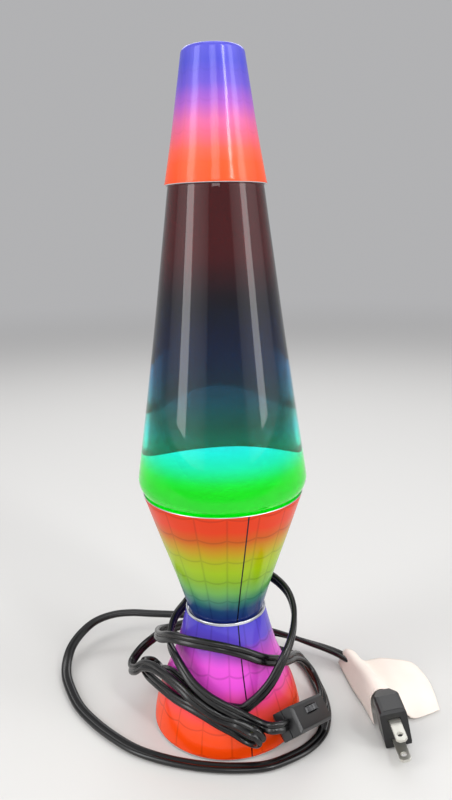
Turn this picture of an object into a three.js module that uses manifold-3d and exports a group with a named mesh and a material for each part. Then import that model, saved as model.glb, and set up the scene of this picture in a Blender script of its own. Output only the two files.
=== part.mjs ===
// Liquid motion lamp: a spun two-cone base with a bulb, a tapered globe of liquid and wax that
// lifts out of its cup, a cap over the globe, and a flat twin cord with an inline switch and a plug.
// Millimetres, +Z up. The origin is on the lamp's axis, at the height its feet stand on; -Y is the front.
import * as THREE from "three";
import { mergeVertices } from "three/addons/utils/BufferGeometryUtils.js";
import Module from "manifold-3d";

const wasm = await Module();
wasm.setup();

// Shared by every piece
const clearance = 0.3; // gap between pieces that touch
const overrun = 1; // how far a cutter passes the faces that it cuts
const roundSides = 32; // facets round the large turned pieces
const smallSides = 16; // facets round the small turned pieces
const quarterTurn = Math.PI / 2;
const fullTurn = 2 * Math.PI;

// Lamp: heights and outer radii
const lampHeight = 367.7;
const waistHeight = 69.9;
const cupHeight = 72.4; // from the waist to the shoulder
const globeWideRise = 6.7; // the glass is widest this far above the shoulder
const capHeight = 63.8;
const rimHeight = 1; // the foot's rim hangs this far above the surface
const footRadius = 43.6;
const stemRadius = 21.1; // of the cup's lower end
const shoulderFlare = 0.6; // the shoulder is wider than the foot by this much
const globeOverhang = 2.1; // the glass is wider than the shoulder by this much
const capRimRadius = 26;
const capTopRadius = 15.6;

// Outlines of the four visible walls: share of the wall's height, share of its change of radius
const footShares = [[0, 0], [0.05, 0.01], [0.27, 0.19], [0.515, 0.52], [0.757, 0.803], [1, 1]];
const cupShares = [[0, 0], [0.33, 0.316], [0.67, 0.674], [1, 1]];
const globeShares = [[0, 0], [0.25, 0.267], [0.5, 0.522], [0.75, 0.76], [1, 1]];
const capShares = [[0, 0], [0.3, 0.34], [0.6, 0.64], [0.9, 0.92]];

// Spun sheet of the base and the cap
const sheet = 0.8;
const lipHeight = 1.6; // bare rim that stands up round the waist
const lipGap = 1.1; // between that rim and the cup's lower end
const flangeWidth = 5; // flat rings that the two cones are riveted through
const capHem = 0.5; // the cap's rim is folded to this much more
const capHemHeight = 3;
const capEdgeRadius = 3.5;

// Globe
const glass = 2.3;
const globeHeadroom = 4; // underside of the glass above the bulb
const globeHeel = 4; // rounding of the glass's lower edge
const neckRadius = 13.2;
const neckHeadroom = 27.7; // from the bottle's mouth to the top of the cap
const neckHeight = 9; // of the straight neck
const neckShoulder = 12; // height of the bottle's shoulder
const beadRadius = 14.2;
const beadHeight = 3;
const liquidHeadroom = 24; // from the liquid to the bottle's mouth
const waxRise = 6; // middle of the wax's top above the widest part of the glass
const waxTilt = 0.115; // radians: the wax stands higher at the left
const waxDome = 3;

// Crown seal on the bottle's mouth
const crownSheet = 0.5;
const crownSkirt = 5;
const crownFlutes = 21;
const crownFlute = 0.5;
const linerThickness = 1;

// Warming spring in the wax
const springRing = 20; // radius of the ring that the spring is bent into
const springRadius = 3.2;
const springWire = 0.9;
const springCurls = 16;
const springSpread = 0.93; // share of the full circle that it fills

// Underside
const coverThickness = 1;
const coverInset = 1.8; // underside of the cover above the foot's rim
const coverLip = 1.2;
const ventStart = 9.5; // distance of a vent's inner end from the axis
const ventWidth = 3;
const ventCount = 8;
const padCount = 4;
const padRadius = 4.5;
const padInset = 10.6; // middle of a pad from the foot's rim
const padFloor = 0.6; // depth of the seat that a pad is glued into
const coverScrews = 3;
const coverScrewInset = 5.6; // a screw from the foot's rim
const screwHead = 2.6;
const screwShank = 1.3;
const screwHeadHeight = 1.2;
const bossRadius = 3;
const bossHeight = 5;

// Rivets through the waist
const rivets = 3;
const rivetRadius = 1.2;
const rivetHead = 2.2;
const rivetHeadHeight = 0.9;

// Socket
const socketRadius = 12.4;
const socketDrop = 7.9; // top of the socket below the waist
const socketHeight = 22;
const socketFloor = 3;
const holderSheet = 0.8;
const holderDepth = 14;
const shellRadius = 9.2;
const shellSheet = 0.4;
const contactWidth = 3;
const contactSheet = 0.5;
const contactRise = 1.6;
const terminalRadius = 2;
const terminalHeight = 2.4;
const terminalSpread = 7;

// Bulb
const bulbRadius = 17.5;
const bulbHeight = 53.3;
const bulbNeckRadius = 7.1;
const bulbGlass = 0.6;
const capsuleRadius = 8.3;
const capsuleHeight = 14;
const capsuleSheet = 0.5;
const threadPitch = 2.8;
const threadDepth = 0.35;
const tipRadius = 2.6;
const tipHeight = 1.3;
const insulatorHeight = 2;
const insulatorRadius = 6.4;
const stemGlassRadius = 2.2;
const stemGlassHeight = 20;
const filamentWire = 0.5;
const filamentSpan = 14;
const filamentRise = 8;

// Flat twin cord: these tubes are as thick as keeps its strands apart
const cordTube = 3.9;
const cordSides = 8;
const cordStep = 10;
const bushingHeight = 13; // the cord leaves the back of the foot here
const bushingLength = 26;
const bushingRadius = 4.6;
const bushingTipRadius = 3.4;
const bushingFlange = 1.2; // how far each collar stands past the hole
const bushingCollar = 1.5;
const leadRadius = 0.9;
const leadSpread = 2.4;

// Inline switch, and where it lies against the foot
const switchLength = 40;
const switchWidth = 15;
const switchDepth = 14;
const switchWall = 1.3;
const switchBevel = 1.6;
const switchPlace = [41.4, -32.2, 18.3];
const switchAlongShares = [0.52, 0.77, -0.37]; // direction from the lamp's cord to the plug's cord
const switchFaceShares = [0.758, -0.216, 0.616]; // direction that the wheel's face looks in
const wheelRadius = 7.6;
const wheelWidth = 3;
const wheelProud = 2.8; // how far the wheel stands out of its slot
const wheelShift = 0.6; // along the switch
const wheelSide = 2.2; // across the switch
const wheelTeeth = 22;
const wheelTooth = 0.45;
const wheelPin = 1.3;
const wheelPinLength = 2;
const wheelPlay = 0.4;
const cheekThickness = 1.4;
const springStripWidth = 3;
const springStripThickness = 0.5;
const switchScrewInset = 5;
const switchScrewRadius = 1.1;
const switchScrewHead = 1.9;
const switchScrewHeadHeight = 1;
const pillarRadius = 2.6;

// Plug, lying on its edge
const plugPlace = [91.5, -10, 13]; // where the cord goes in
const plugYaw = 0.02;
const plugRoll = 0.2; // radians that it leans over
const plugLength = 28;
const plugHeight = 24;
const plugWidth = 15;
const plugBackHeight = 12;
const plugRound = 3;
const bladeLength = 16.5;
const bladeWidth = 6.3;
const bladeThickness = 1.5;
const bladeSpacing = 12.7;
const bladeRoot = 7; // length of a blade inside the plug
const bladeHole = 1.6;
const bladeHoleInset = 4.5;

// Blank paper tag folded over the cord
const tagThickness = 0.6;

// Cord from the lamp to the switch: its route, chosen by hand
const lampCordRoute = [
  [-2.5, 75, 13.3], [-11, 80.5, 14.2], [-27, 82, 16], [-54, 84, 17], [-67, 84, 18], [-80, 82, 18], [-92, 77, 16],
  [-100, 69, 12.5], [-105, 58, 9], [-106, 46, 6], [-104, 33, 4], [-98, 18, 3], [-90, 3, 2.5], [-79, -11, 2.5],
  [-66, -24, 2.5], [-52, -35, 2.5], [-38, -42, 2.5], [-23, -47, 2.5], [-8, -50, 2.5], [6, -51, 2.5],
  [20, -50, 2.5], [32, -45, 2.5], [44, -37, 2.5], [53, -26, 2.5], [57.5, -11, 2.5], [58, 5, 2.5], [56, 20, 2.5],
  [53, 36, 2.5], [46, 50, 2.5], [30, 60, 2.5], [10, 66, 2.5], [-10, 63, 5], [-26, 53, 14], [-41, 40, 28],
  [-48, 31, 29], [-54.5, 27, 25], [-59, 21, 21], [-59, 12, 22], [-55, 3, 27], [-50, -3, 33.5], [-44, -10, 37.5],
  [-38, -18, 39.5], [-32, -25, 39.5], [-26, -31, 38], [-20.5, -36, 35.5], [-15, -39, 32.5], [-9.5, -41.5, 29.5],
  [-3, -43, 26.5], [3.5, -45, 25.5], [9, -49.5, 26], [14, -53.5, 25.5], [17, -53, 21], [15, -48, 15.5],
  [9.5, -44, 15], [3, -42.5, 18.5], [-4.5, -41, 22], [-12.5, -38, 25.5], [-21, -33, 27.5], [-29, -26.5, 28],
  [-36, -19, 28.5], [-42.5, -10, 28], [-47.5, -1, 26.5], [-51, 9, 25], [-51.5, 19, 21.5], [-47, 25, 17],
  [-42.5, 20, 16], [-40.5, 10, 21], [-38.5, -1, 28.5], [-34.5, -10.5, 34.5], [-29.5, -19, 38], [-23.5, -26, 37.5],
  [-19, -30, 36], [-13.5, -34, 34], [-8, -36.5, 32], [-3, -38, 30.5], [2.5, -38.5, 29.5], [8, -39, 29.5],
  [13.5, -37.5, 32.5], [19, -35.5, 36.5], [24.5, -33, 42.5], [30, -29, 51], [35, -22, 57.5], [38.5, -11, 62.5],
  [39.5, 1, 67], [36.5, 14, 71], [27, 26, 75], [14, 34, 77], [-2, 35, 75], [-15, 29, 69], [-24, 19, 61.5],
  [-30, 9, 58.5], [-32.5, 0, 54.5], [-32.5, -9, 51.5], [-28.5, -21, 50.5], [-24, -28, 46.5], [-19, -33.5, 42],
  [-12, -38.5, 38], [-4, -42, 34.5], [4, -44, 31], [11.5, -46, 28], [18, -49.5, 27], [23, -53, 28],
];

// Cord from the switch to the plug: its route, chosen by hand
const plugCordRoute = [
  [56.5, -2, 9.5], [55, 7, 11.5], [51, 14, 17], [46, 13, 25], [41, 5, 32], [36, -7, 38], [28, -19, 45],
  [19, -27.5, 52], [9, -30.5, 58], [-1, -31, 61.5], [-12, -29, 63], [-21, -25.5, 63], [-30, -19, 61.5],
  [-38, -6, 54], [-42, 12, 45], [-42, 29, 37], [-36, 41, 31], [-19, 57, 26], [3, 66, 18], [26, 67, 12],
  [44, 61, 10], [57, 53, 9.5], [66, 48.5, 8.5], [74, 43.5, 7.5], [80, 36, 7.5], [83.5, 27, 8.5], [86.5, 17, 10],
  [89, 6, 11.8],
];

// Edges and ridge of the tag from its far end to its near end, chosen by hand
const tagLeft = [[71.5, 40.5, 2.5], [73.5, 26, 2], [77, 5, 1.5], [83.5, -18, 1.5]];
const tagRidge = [[78, 38, 13], [81.5, 27, 15], [86, 12, 17.5], [90.5, -4, 21]];
const tagArch = [[100, 40, 8], [105, 24, 8.5], [108, 8, 8], [107, -12.5, 3]];
const tagRight = [[123, 35, 3], [127, 20, 1.8], [127.5, 7, 1.5], [126, -7, 1.5]];

// Heights and radii that follow from these
const shoulderHeight = waistHeight + cupHeight;
const globeWideHeight = shoulderHeight + globeWideRise;
const capRimHeight = lampHeight - capHeight;
const lipRadius = stemRadius + lipGap + sheet;
const shoulderRadius = footRadius + shoulderFlare;
const globeRadius = shoulderRadius + globeOverhang;
const globeTopRadius = capRimRadius - sheet - capHem - clearance;
const socketTop = waistHeight - socketDrop;
const socketLow = socketTop - socketHeight;
const shellLow = socketLow + socketFloor;
const contactLow = shellLow + clearance;
const tipLow = contactLow + contactRise + contactSheet + clearance;
const bulbTop = tipLow + bulbHeight;
const globeFloor = bulbTop + globeHeadroom;
const neckTop = lampHeight - neckHeadroom;
const neckFoot = neckTop - neckHeight;
const liquidLevel = neckTop - liquidHeadroom;
const waxHeight = globeWideHeight + waxRise;
const padRing = footRadius - padInset;
const coverScrewRing = footRadius - coverScrewInset;

// Geometry helpers

/** Drops normals and uvs, merges shared corners and drops triangles that have no area. */
function clean(geometry) {
  const plain = geometry.index ? geometry.toNonIndexed() : geometry;
  for (const name of Object.keys(plain.attributes)) {
    if (name !== "position") plain.deleteAttribute(name);
  }
  const merged = mergeVertices(plain, 1e-4);
  const corners = merged.index.array;
  const kept = [];
  for (let i = 0; i < corners.length; i += 3) {
    const [a, b, c] = [corners[i], corners[i + 1], corners[i + 2]];
    if (a !== b && b !== c && c !== a) kept.push(a, b, c);
  }
  merged.setIndex(kept);
  merged.clearGroups();
  return merged;
}

/** Turns the faces round where a closed mesh points inwards. */
function outward(geometry) {
  const place = geometry.attributes.position;
  const corners = geometry.index.array;
  const [a, b, c] = [new THREE.Vector3(), new THREE.Vector3(), new THREE.Vector3()];
  let volume = 0;
  for (let i = 0; i < corners.length; i += 3) {
    a.fromBufferAttribute(place, corners[i]);
    b.fromBufferAttribute(place, corners[i + 1]);
    c.fromBufferAttribute(place, corners[i + 2]);
    volume += a.dot(b.cross(c));
  }
  if (volume < 0) {
    for (let i = 0; i < corners.length; i += 3) {
      [corners[i], corners[i + 1]] = [corners[i + 1], corners[i]];
    }
  }
  return geometry;
}

/** A closed solid that can be cut and joined. */
function solid(geometry) {
  const closed = outward(clean(geometry));
  return new wasm.Manifold(new wasm.Mesh({
    numProp: 3,
    vertProperties: Float32Array.from(closed.attributes.position.array),
    triVerts: Uint32Array.from(closed.index.array),
  }));
}

/** The mesh of a cut or joined solid. */
function meshOf(body) {
  const { numProp, vertProperties, triVerts } = body.getMesh();
  const places = new Float32Array((vertProperties.length / numProp) * 3);
  for (let i = 0; i < places.length / 3; i++) {
    places.set(vertProperties.subarray(i * numProp, i * numProp + 3), i * 3);
  }
  const geometry = new THREE.BufferGeometry();
  geometry.setAttribute("position", new THREE.BufferAttribute(places, 3));
  geometry.setIndex(Array.from(triVerts));
  return geometry;
}

/** Turns an outline of [radius, height] points round the lamp's axis. */
function turned(outline, sides = roundSides) {
  const points = outline.map(([radius, height]) => new THREE.Vector2(Math.max(radius, 0), height));
  return new THREE.LatheGeometry(points, sides).rotateX(quarterTurn);
}

/** A ring or tube between two radii and two heights. */
function ring(inner, outer, low, high, sides = roundSides) {
  return turned([[inner, low], [outer, low], [outer, high], [inner, high], [inner, low]], sides);
}

/** A solid round bar along Z from low to high. */
function bar(radius, low, high, sides = smallSides) {
  return turned([[0, low], [radius, low], [radius, high], [0, high]], sides);
}

/** A box between two corners. */
function block([x0, y0, z0], [x1, y1, z1]) {
  const geometry = new THREE.BoxGeometry(x1 - x0, y1 - y0, z1 - z0);
  return geometry.translate((x0 + x1) / 2, (y0 + y1) / 2, (z0 + z1) / 2);
}

/** Points of an outline given in shares, between two heights and two radii. */
function wallPoints(shares, low, high, lowRadius, highRadius, inset = 0) {
  const span = high - low;
  return shares.map(([up, change]) => [lowRadius + (highRadius - lowRadius) * change - inset, low + span * up]);
}

/** Radius of an outline of [radius, height] points at a height. */
function radiusAt(points, height) {
  for (let i = 1; i < points.length; i++) {
    const [[r0, z0], [r1, z1]] = [points[i - 1], points[i]];
    if (height <= z1 || i === points.length - 1) return r0 + ((r1 - r0) * (height - z0)) / (z1 - z0);
  }
  return points[0][0];
}

/** Moves a geometry to a place on a circle round the lamp's axis. */
function round(geometry, radius, turn) {
  return geometry.translate(radius, 0, 0).rotateZ(turn);
}

/** Angles of count copies round a circle, from a first angle. */
function turns(count, first = 0) {
  return Array.from({ length: count }, (_, i) => first + (fullTurn * i) / count);
}

/** A round tube along a curve. */
function tube(curve, radius, sides, steps) {
  const section = new THREE.Shape();
  for (let i = 0; i < sides; i++) {
    const turn = (fullTurn * i) / sides;
    const [x, y] = [radius * Math.cos(turn), radius * Math.sin(turn)];
    if (i === 0) section.moveTo(x, y);
    else section.lineTo(x, y);
  }
  section.closePath();
  return new THREE.ExtrudeGeometry(section, { steps, extrudePath: curve, bevelEnabled: false });
}

/** Least free gap between two stretches of one tube that are further apart along it than reach. */
function leastGap(points, diameter, reach) {
  const along = [0];
  for (let i = 1; i < points.length; i++) along.push(along[i - 1] + points[i].distanceTo(points[i - 1]));
  let least = Infinity;
  for (let i = 0; i < points.length; i++) {
    for (let j = i + 1; j < points.length; j++) {
      if (along[j] - along[i] > reach) least = Math.min(least, points[i].distanceTo(points[j]) - diameter);
    }
  }
  return least;
}

// Materials
const paint = (color, roughness, metalness = 0) => new THREE.MeshStandardMaterial({ color, roughness, metalness });
const finishes = {
  footWrap: paint(0xc43fb0, 0.3, 0.4),
  cupWrap: paint(0x8cc63a, 0.3, 0.4),
  capWrap: paint(0xb0306a, 0.3, 0.4),
  glass: new THREE.MeshStandardMaterial({ color: 0x3d6f8c, roughness: 0.05, transparent: true, opacity: 0.4 }),
  liquid: new THREE.MeshStandardMaterial({ color: 0x2b4f6e, roughness: 0.1, transparent: true, opacity: 0.5 }),
  wax: paint(0x39c45a, 0.5),
  steel: paint(0xb8bcc0, 0.35, 1),
  brass: paint(0xc9a24a, 0.35, 1),
  porcelain: paint(0xe9e4da, 0.4),
  rubber: paint(0x2a2a2a, 0.8),
  blackPlastic: paint(0x1d1d1f, 0.45),
  cordPvc: paint(0x1f1f20, 0.5),
  clearPlastic: paint(0xd9dde0, 0.2),
  paper: paint(0xf2e3d6, 0.9),
  tungsten: paint(0x8a8a8c, 0.4, 1),
};

const lamp = new THREE.Group();

/** Adds one named piece to a group. */
function add(name, geometry, material, group = lamp) {
  const mesh = new THREE.Mesh(outward(clean(geometry)), material);
  mesh.name = name;
  group.add(mesh);
  return mesh;
}

// Walls that several pieces share
const footWall = wallPoints(footShares, rimHeight, waistHeight, footRadius, lipRadius);
const cupWall = wallPoints(cupShares, waistHeight, shoulderHeight, stemRadius, shoulderRadius);
const globeWall = wallPoints(globeShares, globeWideHeight, capRimHeight, globeRadius, globeTopRadius);
const capWall = wallPoints(capShares, capRimHeight, lampHeight, capRimRadius, capTopRadius);
const inner = (points, depth) => points.map(([radius, height]) => [radius - depth, height]);
const outline = (outside, inside) => [...outside, ...[...inside].reverse(), outside[0]];

// Base: the foot's flange lies at the waist, and the cup's flange lies on it
const footFlangeTop = waistHeight - clearance;
const footFlangeLow = footFlangeTop - sheet;
const cupFloorTop = waistHeight + sheet;
const flangeHole = stemRadius - sheet - flangeWidth;
const rivetRing = stemRadius - sheet - flangeWidth / 2;
const rivetTurns = turns(rivets, fullTurn / 4 + fullTurn / 12);
const coverLow = rimHeight + coverInset;
const coverTop = coverLow + coverThickness;

function lowerCone() {
  const outside = [...footWall.slice(0, -1), [lipRadius, waistHeight], [lipRadius, waistHeight + lipHeight]];
  const lipInside = lipRadius - sheet;
  const inside = [
    ...inner(footWall.slice(0, -1), sheet),
    [lipInside, footFlangeLow],
    [flangeHole, footFlangeLow],
    [flangeHole, footFlangeTop],
    [lipInside, footFlangeTop],
    [lipInside, waistHeight + lipHeight],
  ];
  let body = solid(turned(outline(outside, inside)));
  for (const turn of rivetTurns) {
    const hole = bar(rivetRadius + clearance, footFlangeLow - overrun, footFlangeTop + overrun);
    body = body.subtract(solid(round(hole, rivetRing, turn)));
  }
  const cordHole = bar(bushingRadius + clearance, 0, footRadius + overrun).rotateX(-quarterTurn);
  body = body.subtract(solid(cordHole.translate(0, 0, bushingHeight)));
  for (const turn of turns(coverScrews)) body = body.add(solid(round(coverBoss(), coverScrewRing, turn)));
  return meshOf(body);
}

/** Boss inside the foot that a cover screw bites into. Its outer side is inside the foot's wall. */
function coverBoss() {
  const low = coverTop + clearance;
  const boss = solid(bar(bossRadius, low, low + bossHeight));
  const bore = solid(bar(screwShank + clearance, low - overrun, low + bossHeight - screwShank));
  const web = [[0, -screwShank, low + bossHeight - sheet], [footRadius - coverScrewRing, screwShank, low + bossHeight]];
  const wall = solid(turned([[0, 0], ...footWall, [0, waistHeight]]).translate(-coverScrewRing, 0, 0));
  return meshOf(boss.add(solid(block(...web))).intersect(wall).subtract(bore));
}

add("lower_cone", lowerCone(), finishes.footWrap);

function upperCone() {
  const rollTop = shoulderHeight + sheet / 2;
  const outside = [[flangeHole, waistHeight], ...cupWall, [shoulderRadius - sheet, rollTop]];
  const inside = [
    [flangeHole, cupFloorTop],
    [stemRadius - sheet, cupFloorTop],
    ...inner(cupWall.slice(1), sheet),
  ];
  let body = solid(turned(outline(outside, inside)));
  for (const turn of rivetTurns) {
    const hole = bar(rivetRadius + clearance, waistHeight - overrun, cupFloorTop + overrun);
    body = body.subtract(solid(round(hole, rivetRing, turn)));
  }
  return meshOf(body);
}
add("upper_cone", upperCone(), finishes.cupWrap);

// Socket holder hangs from the waist on the rivets
const holderTop = footFlangeLow - clearance;
const holderRadius = socketRadius + clearance + holderSheet;
const holderReach = rivetRing + rivetHead;
function socketHolder() {
  const hold = socketRadius + clearance;
  const low = holderTop - holderDepth;
  const profile = [
    [hold, low], [holderRadius, low], [holderRadius, holderTop - holderSheet],
    [holderReach, holderTop - holderSheet], [holderReach, holderTop], [hold, holderTop], [hold, low],
  ];
  let body = solid(turned(profile));
  for (const turn of rivetTurns) {
    const hole = bar(rivetRadius + clearance, holderTop - holderSheet - overrun, holderTop + overrun);
    body = body.subtract(solid(round(hole, rivetRing, turn)));
  }
  return meshOf(body);
}
add("socket_holder", socketHolder(), finishes.steel);

const rivetLow = holderTop - holderSheet - clearance;
const rivetHigh = cupFloorTop + clearance;
rivetTurns.forEach((turn, i) => {
  const profile = [
    [0, rivetLow - rivetHeadHeight], [rivetHead, rivetLow - rivetHeadHeight], [rivetHead, rivetLow],
    [rivetRadius, rivetLow], [rivetRadius, rivetHigh], [rivetHead, rivetHigh],
    [rivetHead / 2, rivetHigh + rivetHeadHeight], [0, rivetHigh + rivetHeadHeight],
  ];
  add(`waist_rivet_${i + 1}`, round(turned(profile, smallSides), rivetRing, turn), finishes.steel);
});

// Socket
const wellRadius = shellRadius + shellSheet + clearance;
function socketBody() {
  const profile = [
    [0, socketLow], [socketRadius, socketLow], [socketRadius, socketTop], [wellRadius, socketTop],
    [wellRadius, shellLow], [0, shellLow],
  ];
  let body = solid(turned(profile, 24));
  for (const side of [-1, 1]) {
    const hole = bar(terminalRadius / 2 + clearance, socketLow - overrun, socketLow + socketFloor / 2);
    body = body.subtract(solid(hole.translate(side * terminalSpread, 0, 0)));
  }
  return meshOf(body);
}
add("socket_body", socketBody(), finishes.porcelain);
const socketShellLow = shellLow + clearance;
add("socket_screw_shell",
  ring(shellRadius, shellRadius + shellSheet, socketShellLow, socketTop - clearance, 24), finishes.brass);

function centreContact() {
  const reach = shellRadius - contactWidth;
  const strip = new THREE.Shape();
  const tip = contactLow + contactRise + contactSheet;
  strip.moveTo(-reach, contactLow);
  strip.lineTo(-reach / 2, contactLow);
  strip.lineTo(-reach / 4, tip - contactSheet);
  strip.lineTo(reach / 2, tip - contactSheet);
  strip.lineTo(reach / 2, tip);
  strip.lineTo(-reach / 4 - contactSheet, tip);
  strip.lineTo(-reach / 2 - contactSheet, contactLow + contactSheet);
  strip.lineTo(-reach, contactLow + contactSheet);
  strip.closePath();
  const geometry = new THREE.ExtrudeGeometry(strip, { depth: contactWidth, bevelEnabled: false });
  return geometry.rotateX(quarterTurn).translate(0, contactWidth / 2, 0);
}
add("socket_centre_contact", centreContact(), finishes.brass);

[-1, 1].forEach((side, i) => {
  const top = socketLow - clearance;
  const profile = [
    [0, top - terminalHeight], [terminalRadius, top - terminalHeight], [terminalRadius, top],
    [terminalRadius / 2, top], [terminalRadius / 2, top + socketFloor / 2], [0, top + socketFloor / 2],
  ];
  const screw = turned(profile, 12).translate(side * terminalSpread, 0, 0);
  add(`socket_terminal_${i + 1}`, screw, finishes.brass);
});

// Bulb, which turns in the socket
const bulb = new THREE.Group();
lamp.add(bulb);
const insulatorLow = tipLow + tipHeight;
const capsuleLow = insulatorLow + insulatorHeight;
const capsuleTop = capsuleLow + capsuleHeight;

function bulbBase() {
  const outside = [[insulatorRadius + capsuleSheet, capsuleLow]];
  const threads = Math.max(Math.floor((capsuleHeight - 2 * capsuleSheet) / threadPitch), 1);
  for (let i = 0; i < threads; i++) {
    const low = capsuleLow + capsuleSheet + i * threadPitch;
    outside.push([capsuleRadius - threadDepth, low], [capsuleRadius, low + threadPitch / 2]);
  }
  outside.push([capsuleRadius - threadDepth, capsuleTop]);
  const inside = [
    [insulatorRadius, capsuleLow],
    [capsuleRadius - threadDepth - capsuleSheet, capsuleLow + insulatorHeight],
    [capsuleRadius - threadDepth - capsuleSheet, capsuleTop],
  ];
  return turned(outline(outside, inside), 20);
}
add("bulb_screw_base", bulbBase(), finishes.brass, bulb);
add("bulb_insulator",
  turned([[0, insulatorLow + clearance], [tipRadius, insulatorLow + clearance],
    [insulatorRadius - clearance, capsuleLow + clearance], [insulatorRadius - clearance, capsuleLow + tipHeight],
    [0, capsuleLow + tipHeight]], smallSides), finishes.blackPlastic, bulb);
add("bulb_tip_contact",
  turned([[0, tipLow], [tipRadius / 2, tipLow], [tipRadius, insulatorLow], [0, insulatorLow]], smallSides),
  finishes.brass, bulb);

const bulbCentre = bulbTop - bulbRadius;
const bulbFoot = capsuleTop - capsuleHeight / 2;
/** Outline of the bulb's glass at a depth inside its outer surface. */
function bulbOutline(depth) {
  const points = [[bulbNeckRadius - depth, bulbFoot], [bulbNeckRadius - depth, capsuleTop + clearance]];
  const ball = bulbRadius - depth;
  const start = -0.9;
  const steps = 9;
  for (let i = 0; i < steps; i++) {
    const turn = start + ((quarterTurn - start) * i) / steps;
    points.push([ball * Math.cos(turn), bulbCentre + ball * Math.sin(turn)]);
  }
  points.push([0, bulbTop - depth]);
  return points;
}
add("bulb_glass", turned([...bulbOutline(0), ...bulbOutline(bulbGlass).reverse(), bulbOutline(0)[0]], 20),
  finishes.glass, bulb);

const stemLow = bulbFoot + bulbGlass;
const stemTop = stemLow + stemGlassHeight;
const stemFlare = bulbNeckRadius - bulbGlass - clearance;
add("bulb_stem",
  turned([[0, stemLow], [stemFlare, stemLow], [stemGlassRadius, stemLow + stemGlassHeight / 3],
    [stemGlassRadius, stemTop], [0, stemTop]], smallSides), finishes.glass, bulb);
const filamentLow = stemTop + clearance;
const filamentRoute = new THREE.CatmullRomCurve3([
  [-stemGlassRadius / 2, filamentLow], [-filamentSpan / 2, filamentLow + filamentRise],
  [-filamentSpan / 4, filamentLow + filamentRise + filamentWire * 2], [0, filamentLow + filamentRise],
  [filamentSpan / 4, filamentLow + filamentRise + filamentWire * 2],
  [filamentSpan / 2, filamentLow + filamentRise], [stemGlassRadius / 2, filamentLow],
].map(([x, z]) => new THREE.Vector3(x, 0, z)), false, "centripetal");
add("bulb_filament", tube(filamentRoute, filamentWire / 2, 5, 24), finishes.tungsten, bulb);

// Bottom cover, its screws and its rubber feet
const coverRadius = radiusAt(footWall, coverLow) - sheet - clearance;
function bottomCover() {
  const profile = [
    [0, coverLow], [coverRadius, coverLow], [coverRadius, coverTop + coverLip],
    [coverRadius - coverThickness, coverTop + coverLip], [coverRadius - coverThickness, coverTop], [0, coverTop],
  ];
  let body = solid(turned(profile));
  for (const turn of turns(ventCount, fullTurn / (2 * ventCount))) {
    const end = padRing - padRadius - ventWidth;
    const slot = block([ventStart, -ventWidth / 2, coverLow - overrun], [end, ventWidth / 2, coverTop + overrun]);
    body = body.subtract(solid(slot.rotateZ(turn)));
  }
  for (const turn of turns(coverScrews)) {
    const hole = bar(screwShank + clearance, coverLow - overrun, coverTop + overrun);
    body = body.subtract(solid(round(hole, coverScrewRing, turn)));
    const notch = bar(bossRadius + clearance, coverTop, coverTop + coverLip + overrun);
    body = body.subtract(solid(round(notch, coverScrewRing, turn)));
  }
  for (const turn of turns(padCount, fullTurn / 8)) {
    const seat = bar(padRadius + clearance, coverLow - overrun, coverLow + padFloor);
    body = body.subtract(solid(round(seat, padRing, turn)));
  }
  return meshOf(body);
}
add("bottom_cover", bottomCover(), finishes.blackPlastic);

turns(padCount, fullTurn / 8).forEach((turn, i) => {
  const profile = [
    [0, 0], [padRadius - padFloor, 0], [padRadius, padFloor], [padRadius, coverLow + padFloor - clearance],
    [0, coverLow + padFloor - clearance],
  ];
  add(`rubber_foot_${i + 1}`, round(turned(profile, smallSides), padRing, turn), finishes.rubber);
});

turns(coverScrews).forEach((turn, i) => {
  const seat = coverLow - clearance;
  const profile = [
    [0, seat - screwHeadHeight], [screwHead / 2, seat - screwHeadHeight], [screwHead, seat], [screwShank, seat],
    [screwShank, coverTop + bossHeight - 2 * screwShank], [0, coverTop + bossHeight - screwShank],
  ];
  add(`cover_screw_${i + 1}`, round(turned(profile, smallSides), coverScrewRing, turn), finishes.steel);
});

// Globe: bottle, liquid, wax, warming spring and crown seal
const globe = new THREE.Group();
lamp.add(globe);
const cupInside = inner(cupWall, sheet);
const seatRadius = (height) => radiusAt(cupInside, height) - clearance;
const neckInside = neckRadius - glass;

/** Outline of the bottle, from the middle of its floor to its mouth, at a depth inside the glass. */
function bottleOutline(depth) {
  const floor = globeFloor + depth;
  const seatTop = shoulderHeight + sheet / 2 + clearance;
  const points = [
    [0, floor],
    [seatRadius(globeFloor) - globeHeel - depth / 2, floor],
    [seatRadius(globeFloor + globeHeel) - depth, globeFloor + globeHeel],
    [seatRadius(shoulderHeight) - depth, seatTop],
    [(seatRadius(shoulderHeight) + globeRadius) / 2 + glass / 4 - depth, (seatTop + globeWideHeight) / 2],
  ];
  for (const [radius, height] of globeWall.slice(0, -1)) points.push([radius - depth, height]);
  const capSeat = neckFoot - neckShoulder;
  points.push([globeTopRadius - depth, capRimHeight]);
  points.push([radiusAt(capWall, capSeat) - sheet - clearance - depth, capSeat]);
  points.push([(globeTopRadius + neckRadius) / 2 - depth * 0.8, neckFoot - neckShoulder / 3]);
  points.push([neckRadius - depth, neckFoot]);
  return points;
}
function bottle() {
  const outside = [
    ...bottleOutline(0), [neckRadius, neckTop - beadHeight], [beadRadius, neckTop - beadHeight],
    [beadRadius, neckTop],
  ];
  return turned([...outside, [neckInside, neckTop], ...bottleOutline(glass).reverse()]);
}
add("globe_glass", bottle(), finishes.glass, globe);

/** Everything inside the glass up to a level. */
function filling(depth, level) {
  const points = bottleOutline(depth).filter(([, height]) => height < level);
  return solid(turned([...points, [radiusAt(bottleOutline(depth).slice(1), level), level], [0, level]]));
}
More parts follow.
